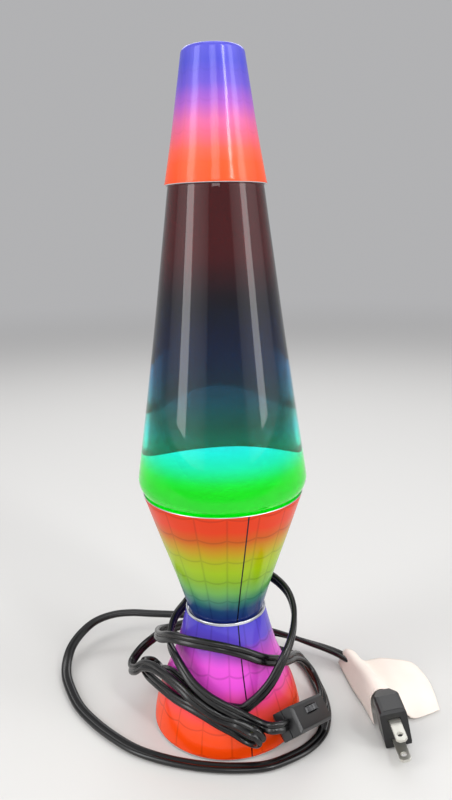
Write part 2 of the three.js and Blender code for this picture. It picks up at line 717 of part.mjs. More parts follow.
/** Blunt block with a low dome whose tilted top is the surface of the wax. */
function waxBlock(rise) {
  const reach = globeRadius + overrun;
  const points = [[0, -waxHeight], [reach, -waxHeight], [reach, -waxDome]];
  for (const share of [0.8, 0.6, 0.4, 0.2]) points.push([reach * share, -waxDome * share * share]);
  points.push([0, 0]);
  return solid(turned(points).rotateY(waxTilt).translate(0, 0, waxHeight + rise));
}
const springFloor = globeFloor + glass + 2 * clearance;
const springMiddle = springFloor + springRadius + springWire / 2;
const waxDepth = glass + clearance;
function waxBody() {
  const groove = springRadius + springWire / 2 + clearance;
  const pocket = ring(springRing - groove, springRing + groove, globeFloor, springMiddle + groove);
  return meshOf(filling(waxDepth, liquidLevel).intersect(waxBlock(0)).subtract(solid(pocket)));
}
add("wax", waxBody(), finishes.wax, globe);
add("liquid", meshOf(filling(waxDepth, liquidLevel).subtract(waxBlock(clearance))), finishes.liquid, globe);

/** Open ring of a wound spring: its curls run round a circle and stop short of closing. */
class SpringRing extends THREE.Curve {
  getPoint(share, target = new THREE.Vector3()) {
    const turn = fullTurn * springSpread * share;
    const curl = fullTurn * springCurls * share;
    const reach = springRing + springRadius * Math.cos(curl);
    return target.set(reach * Math.cos(turn), reach * Math.sin(turn), springMiddle + springRadius * Math.sin(curl));
  }
}
const springCurve = new SpringRing();
add("warming_spring", tube(springCurve, springWire / 2, 5, springCurls * 7), finishes.steel, globe);

const crownLow = neckTop + clearance + linerThickness + clearance;
const crownInside = beadRadius + clearance;
function crownSeal() {
  const top = new THREE.Shape();
  const points = crownFlutes * 4;
  for (let i = 0; i < points; i++) {
    const turn = (fullTurn * i) / points;
    const radius = crownInside + crownSheet + crownFlute * (1 + Math.cos(crownFlutes * turn));
    const [x, y] = [radius * Math.cos(turn), radius * Math.sin(turn)];
    if (i === 0) top.moveTo(x, y);
    else top.lineTo(x, y);
  }
  top.closePath();
  const low = neckTop - crownSkirt;
  const skirt = new THREE.ExtrudeGeometry(top, { depth: crownLow + crownSheet - low, bevelEnabled: false });
  return meshOf(solid(skirt.translate(0, 0, low)).subtract(solid(bar(crownInside, low - overrun, crownLow, 32))));
}
add("crown_seal", crownSeal(), finishes.steel, globe);
add("crown_liner", bar(beadRadius, neckTop + clearance, neckTop + clearance + linerThickness, 24), finishes.paper, globe);

// Cap over the globe
function capShell() {
  const topEdge = lampHeight - capEdgeRadius;
  const edge = [];
  for (const share of [0, 0.35, 0.7]) {
    const turn = quarterTurn * share;
    const reach = capTopRadius - capEdgeRadius;
    edge.push([reach + capEdgeRadius * Math.cos(turn), topEdge + capEdgeRadius * Math.sin(turn)]);
  }
  const reach = capTopRadius - capEdgeRadius;
  const wall = capWall.filter(([, height]) => height < topEdge);
  const outside = [...wall, ...edge, [reach, lampHeight], [0, lampHeight]];
  const hemTop = capRimHeight + capHemHeight;
  const inside = [
    [capRimRadius - sheet - capHem, capRimHeight],
    [radiusAt(capWall, hemTop) - sheet - capHem, hemTop],
    [radiusAt(capWall, hemTop + capHem) - sheet, hemTop + capHem],
    ...inner(wall.slice(1), sheet),
    [capTopRadius - sheet, topEdge],
    [reach, lampHeight - sheet],
    [0, lampHeight - sheet],
  ];
  return turned([...outside, ...[...inside].reverse(), outside[0]]);
}
add("cap_shell", capShell(), finishes.capWrap);

// Bushing and the leads inside the foot
const footBack = radiusAt(footWall, bushingHeight);
const bushingStart = footBack - sheet - clearance - bushingCollar;
const bushingEnd = bushingStart + bushingLength;
function cordBushing() {
  const collar = bushingRadius + bushingFlange;
  const wallIn = footBack - sheet - 2 * clearance;
  const wallOut = footBack + 2 * bushingFlange;
  const profile = [
    [0, bushingStart - bushingCollar], [collar, bushingStart - bushingCollar], [collar, wallIn - bushingCollar],
    [bushingRadius, wallIn - bushingCollar], [bushingRadius, wallOut], [collar, wallOut],
    [collar, wallOut + bushingCollar], [bushingTipRadius, bushingEnd], [0, bushingEnd],
  ];
  return turned(profile, smallSides).rotateX(-quarterTurn).translate(0, 0, bushingHeight);
}
add("cord_bushing", cordBushing(), finishes.blackPlastic);

const leadStart = bushingStart - bushingCollar - clearance;
[-1, 1].forEach((side, i) => {
  const terminalLow = socketLow - clearance - terminalHeight - clearance;
  const route = new THREE.CatmullRomCurve3([
    new THREE.Vector3(side * leadSpread, leadStart, bushingHeight),
    new THREE.Vector3(side * leadSpread, leadStart - leadSpread * 2, bushingHeight),
    new THREE.Vector3(side * terminalSpread, leadSpread * 2, bushingHeight + leadSpread),
    new THREE.Vector3(side * terminalSpread, 0, (bushingHeight + terminalLow) / 2),
    new THREE.Vector3(side * terminalSpread, 0, terminalLow),
  ], false, "centripetal");
  add(`socket_lead_${i + 1}`, tube(route, leadRadius, 6, 14), finishes.cordPvc);
});

// Inline switch, built lying along X with its wheel looking up, then turned to where it lies
const along = new THREE.Vector3(...switchAlongShares).normalize();
const face = new THREE.Vector3(...switchFaceShares);
face.addScaledVector(along, -face.dot(along)).normalize();
const across = new THREE.Vector3().crossVectors(face, along);
const inline = new THREE.Group();
inline.position.set(...switchPlace);
inline.quaternion.setFromRotationMatrix(new THREE.Matrix4().makeBasis(along, across, face));
lamp.add(inline);

const halfLength = switchLength / 2;
const halfWidth = switchWidth / 2;
const halfDepth = switchDepth / 2;
const wheelCentre = halfDepth + wheelProud - wheelRadius;
const screwPlaces = [-1, 1].map((side) => side * (halfLength - switchScrewInset));

/** Half of the switch's case: a tray with bevelled edges, open towards the joint. */
function switchHalf() {
  const [x, y, z] = [halfLength, halfWidth, halfDepth];
  const side = new THREE.Shape([
    [-y, clearance / 2], [y, clearance / 2], [y, z - switchBevel], [y - switchBevel, z], [switchBevel - y, z],
    [-y, z - switchBevel],
  ].map(([u, v]) => new THREE.Vector2(u, v)));
  const long = new THREE.ExtrudeGeometry(side, { depth: switchLength, bevelEnabled: false });
  const front = new THREE.Shape([
    [-x, 0], [x, 0], [x, z - switchBevel], [x - switchBevel, z], [switchBevel - x, z], [-x, z - switchBevel],
  ].map(([u, v]) => new THREE.Vector2(u, v)));
  const wide = new THREE.ExtrudeGeometry(front, { depth: switchWidth, bevelEnabled: false });
  const prism = solid(long.rotateX(quarterTurn).rotateZ(quarterTurn).translate(-x, 0, 0));
  const bevels = solid(wide.rotateX(quarterTurn).translate(0, y, 0));
  const room = block([switchWall - x, switchWall - y, -overrun], [x - switchWall, y - switchWall, z - switchWall]);
  let body = prism.intersect(bevels).subtract(solid(room));
  for (const place of screwPlaces) {
    const pillar = bar(pillarRadius, clearance / 2, z - switchWall / 2, 12).translate(place, 0, 0);
    const bore = bar(switchScrewRadius + clearance, -overrun, z - switchWall, 12).translate(place, 0, 0);
    body = body.add(solid(pillar)).subtract(solid(bore));
  }
  return body;
}
const wheelSlot = {
  low: wheelSide - wheelWidth / 2 - wheelPlay,
  high: wheelSide + wheelWidth / 2 + wheelPlay,
};
function switchUpperShell() {
  const slotReach = Math.sqrt(wheelRadius ** 2 - (halfDepth - switchWall - wheelCentre) ** 2) + wheelPlay;
  const slot = block([wheelShift - slotReach, wheelSlot.low, 0], [wheelShift + slotReach, wheelSlot.high, halfDepth + overrun]);
  return meshOf(switchHalf().subtract(solid(slot)));
}
function switchLowerShell() {
  const turnedOver = solid(meshOf(switchHalf()).rotateX(Math.PI));
  const cheekReach = wheelPin * 2;
  let body = turnedOver;
  const cheeks = [
    [wheelSlot.low - clearance - cheekThickness, wheelSlot.low - clearance],
    [wheelSlot.high + clearance, wheelSlot.high + clearance + cheekThickness],
  ];
  for (const [low, high] of cheeks) {
    const top = wheelCentre + cheekReach;
    const cheek = block([wheelShift - cheekReach, low, switchWall / 2 - halfDepth], [wheelShift + cheekReach, high, top]);
    body = body.add(solid(cheek));
  }
  const bore = bar(wheelPin + clearance / 3, -halfWidth + switchWall + clearance, halfWidth - switchWall - clearance, 24);
  const notch = block(
    [wheelShift - wheelPin - clearance / 3, switchWall + clearance - halfWidth, wheelCentre],
    [wheelShift + wheelPin + clearance / 3, halfWidth - switchWall - clearance, halfDepth],
  );
  body = body.subtract(solid(bore.rotateX(-quarterTurn).translate(wheelShift, 0, wheelCentre)));
  body = body.subtract(solid(notch));
  for (const place of screwPlaces) {
    const hole = bar(switchScrewHead + clearance, -halfDepth - overrun, switchScrewHeadHeight - halfDepth + clearance, 12);
    const shank = bar(switchScrewRadius + clearance, -halfDepth, overrun, 12);
    body = body.subtract(solid(hole.translate(place, 0, 0))).subtract(solid(shank.translate(place, 0, 0)));
  }
  return meshOf(body);
}
add("switch_upper_shell", switchUpperShell(), finishes.blackPlastic, inline);
add("switch_lower_shell", switchLowerShell(), finishes.blackPlastic, inline);

function switchWheel() {
  const rim = new THREE.Shape();
  for (let i = 0; i < wheelTeeth * 2; i++) {
    const turn = (fullTurn * i) / (wheelTeeth * 2);
    const radius = i % 2 ? wheelRadius - wheelTooth : wheelRadius;
    const [x, y] = [radius * Math.cos(turn), radius * Math.sin(turn)];
    if (i === 0) rim.moveTo(x, y);
    else rim.lineTo(x, y);
  }
  rim.closePath();
  const disc = new THREE.ExtrudeGeometry(rim, { depth: wheelWidth, bevelEnabled: false });
  const pinReach = wheelWidth / 2 + wheelPinLength;
  const body = solid(disc.translate(0, 0, -wheelWidth / 2)).add(solid(bar(wheelPin, -pinReach, pinReach, 24)));
  return meshOf(body).rotateX(-quarterTurn).translate(wheelShift, wheelSide, wheelCentre);
}
add("switch_wheel", switchWheel(), finishes.blackPlastic, inline);

screwPlaces.forEach((place, i) => {
  const low = -halfDepth;
  const seat = low + switchScrewHeadHeight;
  const profile = [
    [0, low], [switchScrewHead, low], [switchScrewHead, seat], [switchScrewRadius, seat],
    [switchScrewRadius, halfDepth - 2 * switchWall], [0, halfDepth - 2 * switchWall],
  ];
  add(`switch_screw_${i + 1}`, turned(profile, 12).translate(place, 0, 0), finishes.steel, inline);
});

[-1, 1].forEach((side, i) => {
  const pillarEdge = halfLength - switchScrewInset - pillarRadius - clearance;
  const wheelEdge = side * wheelShift + wheelRadius + wheelPlay;
  const floor = switchWall - halfDepth + clearance;
  const strip = block(
    [Math.min(wheelEdge, pillarEdge - springStripWidth), -springStripWidth / 2, floor],
    [pillarEdge, springStripWidth / 2, floor + springStripThickness],
  );
  if (side < 0) strip.rotateZ(Math.PI);
  add(`switch_contact_${i + 1}`, strip, finishes.brass, inline);
});

// Plug, built pointing along X with its blades one above the other, then laid down
const plug = new THREE.Group();
plug.position.set(...plugPlace);
plug.rotation.set(plugRoll, 0, -quarterTurn + plugYaw, "ZYX");
lamp.add(plug);
function plugBody() {
  const [height, back] = [plugHeight / 2, plugBackHeight / 2];
  const side = new THREE.Shape();
  side.moveTo(0, -back / 2);
  side.quadraticCurveTo(0, -back, plugRound, -back - plugRound / 2);
  side.lineTo(plugLength / 2, -height);
  side.lineTo(plugLength - plugRound / 2, -height);
  side.lineTo(plugLength, plugRound / 2 - height);
  side.lineTo(plugLength, height - plugRound / 2);
  side.lineTo(plugLength - plugRound / 2, height);
  side.lineTo(plugLength / 2, height);
  side.lineTo(plugRound, back + plugRound / 2);
  side.quadraticCurveTo(0, back, 0, back / 2);
  side.closePath();
  const slab = new THREE.ExtrudeGeometry(side, { depth: plugWidth, bevelEnabled: false, curveSegments: 4 });
  const top = new THREE.Shape([
    [0, -back / 2], [plugLength / 3, plugRound / 2 - plugWidth / 2], [plugLength / 2, -plugWidth / 2],
    [plugLength, -plugWidth / 2], [plugLength, plugWidth / 2], [plugLength / 2, plugWidth / 2],
    [plugLength / 3, plugWidth / 2 - plugRound / 2], [0, back / 2],
  ].map(([u, v]) => new THREE.Vector2(u, v)));
  const plan = new THREE.ExtrudeGeometry(top, { depth: plugHeight, bevelEnabled: false });
  const end = new THREE.Shape();
  const [y, z] = [plugWidth / 2, plugHeight / 2];
  end.moveTo(plugRound - y, -z);
  end.lineTo(y - plugRound, -z);
  end.quadraticCurveTo(y, -z, y, plugRound - z);
  end.lineTo(y, z - plugRound);
  end.quadraticCurveTo(y, z, y - plugRound, z);
  end.lineTo(plugRound - y, z);
  end.quadraticCurveTo(-y, z, -y, z - plugRound);
  end.lineTo(-y, plugRound - z);
  end.quadraticCurveTo(-y, -z, plugRound - y, -z);
  end.closePath();
  const rounded = new THREE.ExtrudeGeometry(end, { depth: plugLength, bevelEnabled: false, curveSegments: 3 });
  let body = solid(slab.rotateX(quarterTurn).translate(0, plugWidth / 2, 0))
    .intersect(solid(plan.translate(0, 0, -plugHeight / 2)))
    .intersect(solid(rounded.rotateX(quarterTurn).rotateZ(quarterTurn)));
  for (const place of bladePlaces) {
    const reach = bladeThickness / 2 + clearance;
    const pocket = block(
      [plugLength - bladeRoot, -bladeWidth / 2 - clearance, place - reach],
      [plugLength + overrun, bladeWidth / 2 + clearance, place + reach],
    );
    body = body.subtract(solid(pocket));
  }
  return meshOf(body);
}
const bladePlaces = [1, -1].map((side) => (side * bladeSpacing) / 2);
add("plug_body", plugBody(), finishes.blackPlastic, plug);
bladePlaces.forEach((place, i) => {
  const start = plugLength - bladeRoot + clearance;
  const end = plugLength + bladeLength;
  const blade = new THREE.Shape();
  const half = bladeWidth / 2;
  blade.moveTo(start, -half);
  blade.lineTo(end - half / 2, -half);
  blade.lineTo(end, -half / 2);
  blade.lineTo(end, half / 2);
  blade.lineTo(end - half / 2, half);
  blade.lineTo(start, half);
  blade.closePath();
  const hole = new THREE.Path();
  hole.absarc(end - bladeHoleInset, 0, bladeHole, 0, fullTurn);
  blade.holes.push(hole);
  const strip = new THREE.ExtrudeGeometry(blade, { depth: bladeThickness, bevelEnabled: false, curveSegments: 6 });
  add(`plug_blade_${i + 1}`, strip.translate(0, 0, place - bladeThickness / 2), finishes.brass, plug);
});

// Tag: two leaves that meet at a ridge over the cord
function paperTag() {
  const lines = [tagLeft, tagRidge, tagArch, tagRight];
  const steps = 6;
  const grid = [];
  for (let row = 0; row <= steps; row++) {
    const stations = lines.map((line) => {
      const curve = new THREE.CatmullRomCurve3(line.map((point) => new THREE.Vector3(...point)));
      return curve.getPoint(row / steps);
    });
    const leaf = new THREE.CatmullRomCurve3(stations.slice(1));
    grid.push([stations[0], ...[0, 1, 2, 3, 4, 5].map((i) => leaf.getPoint(i / 5))]);
  }
  return thickSheet(grid, tagThickness);
}

/** Closed slab whose middle follows a grid of points. */
function thickSheet(grid, thickness) {
  const [rows, columns] = [grid.length, grid[0].length];
  const places = [];
  const at = (side, row, column) => (side * rows + row) * columns + column;
  for (const side of [1, -1]) {
    grid.forEach((line, row) => line.forEach((point, column) => {
      const before = grid[Math.max(row - 1, 0)][column];
      const after = grid[Math.min(row + 1, rows - 1)][column];
      const left = line[Math.max(column - 1, 0)];
      const right = line[Math.min(column + 1, columns - 1)];
      const normal = right.clone().sub(left).cross(after.clone().sub(before)).normalize();
      places.push(...point.clone().addScaledVector(normal, (side * thickness) / 2));
    }));
  }
  const faces = [];
  const quad = (a, b, c, d) => faces.push(a, b, c, a, c, d);
  for (let row = 0; row < rows - 1; row++) {
    for (let column = 0; column < columns - 1; column++) {
      quad(at(0, row, column), at(0, row, column + 1), at(0, row + 1, column + 1), at(0, row + 1, column));
      quad(at(1, row, column), at(1, row + 1, column), at(1, row + 1, column + 1), at(1, row, column + 1));
    }
    quad(at(0, row, 0), at(0, row + 1, 0), at(1, row + 1, 0), at(1, row, 0));
    const last = columns - 1;
    quad(at(0, row, last), at(1, row, last), at(1, row + 1, last), at(0, row + 1, last));
  }
  for (let column = 0; column < columns - 1; column++) {
    quad(at(0, 0, column), at(1, 0, column), at(1, 0, column + 1), at(0, 0, column + 1));
    const last = rows - 1;
    quad(at(0, last, column), at(0, last, column + 1), at(1, last, column + 1), at(1, last, column));
  }
  const geometry = new THREE.BufferGeometry();
  geometry.setAttribute("position", new THREE.BufferAttribute(Float32Array.from(places), 3));
  geometry.setIndex(faces);
  return geometry;
}
add("cord_tag", paperTag(), finishes.paper);

// Cords: straight out of what they meet, then along the route
const switchCentre = new THREE.Vector3(...switchPlace);
const switchEnd = (reach) => switchCentre.clone().addScaledVector(along, reach);
const plugAlong = new THREE.Vector3(1, 0, 0).applyEuler(plug.rotation);
const plugBack = (reach) => plug.position.clone().addScaledVector(plugAlong, -reach);
const points = (route) => route.map((point) => new THREE.Vector3(...point));
const lampCord = new THREE.CatmullRomCurve3([
  new THREE.Vector3(0, bushingEnd + clearance, bushingHeight),
  new THREE.Vector3(0, bushingEnd + clearance + cordTube, bushingHeight),
  ...points(lampCordRoute),
  switchEnd(-halfLength - clearance - cordTube),
  switchEnd(-halfLength - clearance),
], false, "centripetal");
const plugCord = new THREE.CatmullRomCurve3([
  switchEnd(halfLength + clearance),
  switchEnd(halfLength + clearance + cordTube),
  ...points(plugCordRoute),
  plugBack(clearance + cordTube),
  plugBack(clearance),
], false, "centripetal");

for (const [name, curve] of [["cord_lamp_to_switch", lampCord], ["cord_switch_to_plug", plugCord]]) {
  curve.arcLengthDivisions = 2000;
  const length = curve.getLength();
  const steps = Math.round(length / cordStep);
  add(name, tube(curve, cordTube / 2, cordSides, steps), finishes.cordPvc);
  const gap = leastGap(curve.getSpacedPoints(steps * 6), cordTube, 4 * cordTube);
  console.log(`${name}: length ${length.toFixed(0)} mm, least gap to itself ${gap.toFixed(2)} mm`);
}
const springGap = leastGap(springCurve.getPoints(springCurls * 16), springWire, fullTurn * springRadius * 0.6);
console.log(`warming_spring: least gap to itself ${springGap.toFixed(2)} mm`);

export default lamp;
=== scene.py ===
import logging
import math
from collections.abc import Callable, Iterable, Sequence
from dataclasses import dataclass, field
from enum import Enum

import bmesh
import bpy
from mathutils import Matrix, Vector, noise

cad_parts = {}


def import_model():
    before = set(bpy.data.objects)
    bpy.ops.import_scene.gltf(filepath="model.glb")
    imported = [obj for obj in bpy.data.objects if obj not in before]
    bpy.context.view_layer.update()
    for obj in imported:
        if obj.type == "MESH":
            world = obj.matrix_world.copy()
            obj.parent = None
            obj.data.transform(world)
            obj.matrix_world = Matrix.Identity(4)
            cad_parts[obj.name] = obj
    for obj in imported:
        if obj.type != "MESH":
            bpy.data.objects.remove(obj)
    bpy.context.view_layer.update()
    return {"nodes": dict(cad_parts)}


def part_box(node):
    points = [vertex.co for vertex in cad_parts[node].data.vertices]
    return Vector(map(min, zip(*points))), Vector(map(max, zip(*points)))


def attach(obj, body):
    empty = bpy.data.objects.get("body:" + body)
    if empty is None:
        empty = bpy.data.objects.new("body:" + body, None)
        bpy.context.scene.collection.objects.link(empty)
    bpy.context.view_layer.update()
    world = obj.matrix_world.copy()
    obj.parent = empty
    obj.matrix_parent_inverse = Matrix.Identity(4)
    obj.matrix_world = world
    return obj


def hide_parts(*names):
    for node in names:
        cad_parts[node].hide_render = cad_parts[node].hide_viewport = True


MM = 0.001
FULL_TURN = 2 * math.pi
TINY = 1e-6  # metres between points that are one, and the least length to divide by
log = logging.getLogger("liquid_motion_lamp")

Material = bpy.types.Material
Mesh = bmesh.types.BMesh
Object = bpy.types.Object
Outline = list[tuple[float, float]]
Point = Sequence[float]
Socket = bpy.types.NodeSocket
Stops = tuple[tuple[float, str], ...]


class Skin(Enum):
    """Which finish a face of a two-finish piece takes, by its place among the piece's material slots."""

    OUTSIDE = 0
    INSIDE = 1


# Shared helpers


def linear(colour: str) -> tuple[float, float, float, float]:
    """Turns an sRGB hex colour into the linear colour that a shader socket takes, by sRGB's own curve.

    Args:
        colour: Six hex digits after a hash.

    Returns:
        Red, green, blue and an alpha of one.
    """
    parts = [int(colour[i : i + 2], 16) / 255 for i in (1, 3, 5)]
    red, green, blue = (c / 12.92 if c <= 0.04045 else ((c + 0.055) / 1.055) ** 2.4 for c in parts)
    return red, green, blue, 1.0


def smooth_step(low: float, high: float, value: float) -> float:
    """Rises smoothly from 0 at low to 1 at high."""
    share = min(1.0, max(0.0, (value - low) / (high - low)))
    return share * share * (3 - 2 * share)


def piece_from(name: str, mesh: Mesh, body: str, finishes: Iterable[Material]) -> Object:
    """Turns a finished bmesh into a piece that rides on a body.

    Args:
        name: The piece's name.
        mesh: The finished shape, in metres.
        body: The body that carries it.
        finishes: Its materials, in slot order.

    Returns:
        The new object.
    """
    data = bpy.data.meshes.new(name)
    mesh.to_mesh(data)
    mesh.free()
    data.shade_smooth()
    for material in finishes:
        data.materials.append(material)
    piece = bpy.data.objects.new(name, data)
    bpy.context.scene.collection.objects.link(piece)
    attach(piece, body)
    log.info("%s: %d faces", name, len(data.polygons))
    return piece


def sharpen(mesh: Mesh, angle: float = 0.6) -> None:
    """Keeps the edges that turn by more than an angle, in radians, crisp in smooth shading."""
    for edge in mesh.edges:
        edge.smooth = edge.calc_face_angle(0.0) < angle


def paint(mesh: Mesh, is_outside: Callable[[bmesh.types.BMFace, float, float], bool]) -> None:
    """Gives each face of a two-finish piece its finish.

    Args:
        mesh: The piece's shape.
        is_outside: Says if a face has the outside finish, from the face, its distance from the lamp's
            axis and its height, in millimetres.
    """
    for face in mesh.faces:
        centre = face.calc_center_median()
        outside = is_outside(face, math.hypot(centre.x, centre.y) / MM, centre.z / MM)
        face.material_index = (Skin.OUTSIDE if outside else Skin.INSIDE).value


def curved(points: Outline, spans: int = 4) -> Outline:
    """Draws a smooth line through the points of an outline.

    Args:
        points: Radius and height of each point, in millimetres.
        spans: How many parts each stretch is cut into.

    Returns:
        The denser outline, with the first and last points kept.
    """
    ends = [points[0], *points, points[-1]]
    line = [points[0]]
    for before, start, end, after in zip(ends, ends[1:], ends[2:], ends[3:]):
        for step in range(1, spans + 1):
            t = step / spans
            place = []
            for a, b, c, d in zip(before, start, end, after):
                bend = (2 * a - 5 * b + 4 * c - d) * t * t + (3 * b - a - 3 * c + d) * t**3
                place.append(0.5 * (2 * b + (c - a) * t + bend))
            line.append(tuple(place))
    return line


def offset(points: Outline, depth: float) -> Outline:
    """Moves an outline towards the axis by a depth."""
    return [(radius - depth, height) for radius, height in points]


def radius_at(points: Outline, height: float) -> float:
    """Finds the radius of a rising outline at a height.

    Args:
        points: Radius and height of each point, in millimetres.
        height: The height, in millimetres.

    Returns:
        The radius there, or that of the nearer end above or below the outline.
    """
    for (r0, z0), (r1, z1) in zip(points, points[1:]):
        if z0 <= height <= z1:
            return r0 + (r1 - r0) * (height - z0) / max(z1 - z0, TINY)
    return points[-1][0] if height > points[-1][1] else points[0][0]


def on_wall(outside: Outline, wall: float, low: float, high: float, reach: float, height: float) -> bool:
    """Says if a point lies on the outer side of a wall, between two heights, all in millimetres.

    Args:
        outside: Radius and height of the points of the wall's outer side.
        wall: The wall's thickness.
        low: The lower height.
        high: The upper height.
        reach: The point's distance from the axis.
        height: The point's height.

    Returns:
        True on the outer side.
    """
    return low < height < high and reach > radius_at(outside, height) - wall / 2


def arc(centre: tuple[float, float], radius: float, start: float, end: float, steps: int = 5) -> Outline:
    """Draws a small arc in an outline.

    Args:
        centre: Radius and height of its centre, in millimetres.
        radius: Its own radius, in millimetres.
        start: Where it starts, in degrees.
        end: Where it ends, in degrees.
        steps: How many parts it is cut into.

    Returns:
        Its points.
    """
    turns = [math.radians(start + (end - start) * i / steps) for i in range(steps + 1)]
    return [(centre[0] + radius * math.cos(t), centre[1] + radius * math.sin(t)) for t in turns]


def spun(outline: Outline, facets: int, closed: bool = False) -> Mesh:
    """Spins an outline round the lamp's axis.

    Args:
        outline: Radius and height of each point, in millimetres.
        facets: Facets round the axis.
        closed: True where the outline's last point joins its first.

    Returns:
        The spun shape, in metres, with its faces outwards.
    """
    mesh = bmesh.new()
    line = [mesh.verts.new((max(radius, 0.0) * MM, 0.0, height * MM)) for radius, height in outline]
    pairs = list(zip(line, line[1:])) + ([(line[-1], line[0])] if closed else [])
    edges = [mesh.edges.new(pair) for pair in pairs]
    bmesh.ops.spin(
        mesh, geom=line + edges, cent=(0, 0, 0), axis=(0, 0, 1), angle=FULL_TURN, steps=facets, use_merge=True
    )
    bmesh.ops.remove_doubles(mesh, verts=mesh.verts, dist=TINY)
    bmesh.ops.recalc_face_normals(mesh, faces=mesh.faces)
    return mesh


def repaint(node: Object, finish: Material) -> None:
    """Gives a CAD node a finish in place of its own.

    Args:
        node: The CAD node's object.
        finish: The finish.
    """
    if not node.material_slots:
        node.data.materials.append(finish)
    for slot in node.material_slots:
        slot.material = finish


def soften(node: Object, width: float, segments: int = 2, least_turn: float = 35.0) -> None:
    """Rounds the sharp edges of a CAD node, whose own mesh stays as it is.

    Args:
        node: The CAD node's object.
        width: Width of the rounding, in millimetres.
        segments: Faces across it.
        least_turn: Degrees that an edge turns by before it's rounded.
    """
    weld = node.modifiers.new("weld", "WELD")
    weld.merge_threshold = TINY
    bevel = node.modifiers.new("rounding", "BEVEL")
    bevel.width = width * MM
    bevel.segments = segments
    bevel.limit_method = "ANGLE"
    bevel.angle_limit = math.radians(least_turn)


# Finishes


def add_node(tree: bpy.types.NodeTree, kind: str, inputs: object = (), **settings: object) -> bpy.types.Node:
    """Adds one node to a tree, sets its properties, and sets or links its inputs.

    Args:
        tree: The node tree.
        kind: The node's type name.
        inputs: Values or sockets in the order of the node's inputs, or by input name.
        settings: The node's own properties.

    Returns:
        The new node.
    """
    node = tree.nodes.new(kind)
    for name, value in settings.items():
        setattr(node, name, value)
    pairs = inputs.items() if isinstance(inputs, dict) else enumerate(inputs)
    for key, value in pairs:
        if isinstance(value, Socket):
            tree.links.new(value, node.inputs[key])
        else:
            node.inputs[key].default_value = value
    return node


@dataclass(frozen=True)
class Where:
    """Where a shaded point lies on a round wall: millimetres up and out, and its angle in radians."""

    height: Socket
    turn: Socket
    radius: Socket


class Shader:
    """A material being made in object coordinates, with a short call for each kind of node."""

    first_colour: int = 6  # the mix node's own numbers for its colour sockets
    second_colour: int = 7
    mixed_colour: int = 2

    def __init__(self, name: str) -> None:
        """Starts a material with an empty node tree.

        Args:
            name: The material's name.
        """
        self.material = bpy.data.materials.new(name)
        self.material.use_nodes = True
        self.tree = self.material.node_tree
        self.tree.nodes.clear()
        self.place = self.add("ShaderNodeTexCoord").outputs["Object"]

    def add(self, kind: str, inputs: object = (), **settings: object) -> bpy.types.Node:
        """Adds one node, as add_node does."""
        return add_node(self.tree, kind, inputs, **settings)

    def maths(self, operation: str, *inputs: object) -> Socket:
        """Works out one number from others."""
        return self.add("ShaderNodeMath", inputs, operation=operation).outputs[0]

    def vectors(self, operation: str, *inputs: object, output: str = "Vector") -> Socket:
        """Works out a vector from others, or a number where the output is Value."""
        return self.add("ShaderNodeVectorMath", inputs, operation=operation).outputs[output]

    def clouds(self, vector: Socket, scale: float, detail: float) -> Socket:
        """Draws cloudy noise, at a scale that is in repeats per metre of the object's own coordinates."""
        return self.add("ShaderNodeTexNoise", {"Vector": vector, "Scale": scale, "Detail": detail}).outputs[0]

    def remap(
        self,
        value: Socket,
        span: tuple[float, float] = (0.0, 1.0),
        result: tuple[float, float] = (0.0, 1.0),
        smooth: bool = False,
    ) -> Socket:
        """Turns one span of values into another.

        Args:
            value: The value.
            span: The values that give the result's two ends.
            result: Those ends.
            smooth: True where it eases in and out.

        Returns:
            The new value, which stays between the two ends.
        """
        ends = {"From Min": span[0], "From Max": span[1], "To Min": result[0], "To Max": result[1]}
        kind = "SMOOTHSTEP" if smooth else "LINEAR"
        return self.add("ShaderNodeMapRange", {"Value": value, **ends}, interpolation_type=kind).outputs[0]

    def mix(self, first: object, second: object, share: object, blend: str = "MIX") -> Socket:
        """Mixes two colours.

        Args:
            first: The first colour.
            second: The second colour.
            share: The second colour's share.
            blend: How the two meet, by the mix node's own name for it.

        Returns:
            The mixed colour.
        """
        inputs = {self.first_colour: first, self.second_colour: second, 0: share}
        mixed = self.add("ShaderNodeMix", inputs, data_type="RGBA", blend_type=blend)
        return mixed.outputs[self.mixed_colour]

    def multiply(self, colour: object, by: Socket) -> Socket:
        """Multiplies a colour by another one or by a shade."""
        return self.mix(colour, by, 1.0, "MULTIPLY")

    def bump(self, height: Socket, strength: float, relief: float) -> Socket:
        """Turns heights from 0 to 1 into a bump, of a relief in millimetres."""
        inputs = {"Strength": strength, "Distance": relief * MM, "Height": height}
        return self.add("ShaderNodeBump", inputs).outputs[0]

    def roughness(self, pattern: Socket, middle: float, stray: tuple[float, float]) -> Socket:
        """Lets the roughness stray from its middle, down and up, with a pattern from 0 to 1."""
        return self.remap(pattern, result=(middle + stray[0], middle + stray[1]))

    def bands(self, height: Socket, stops: Stops, unit: float = 1.0) -> Socket:
        """Colours by height.

        Args:
            height: The height.
            stops: Heights in millimetres with their colours, lowest first.
            unit: What a millimetre is in the height's own unit.

        Returns:
            The colour.
        """
        low, high = stops[0][0], stops[-1][0]
        ramp = self.add("ShaderNodeValToRGB", [self.remap(height, (low * unit, high * unit))])
        elements = ramp.color_ramp.elements
        while len(elements) < len(stops):
            elements.new(0.5)
        for element, (place, colour) in zip(elements, stops):
            element.position = (place - low) / (high - low)
            element.color = linear(colour)
        return ramp.outputs["Color"]

    def surface(self, inputs: dict[str, object]) -> Socket:
        """Adds the surface, from the inputs that differ from its defaults."""
        return self.add("ShaderNodeBsdfPrincipled", inputs).outputs[0]

    def finish(self, surface: Socket) -> Material:
        """Ends the material with its surface."""
        self.add("ShaderNodeOutputMaterial", [surface])
        return self.material


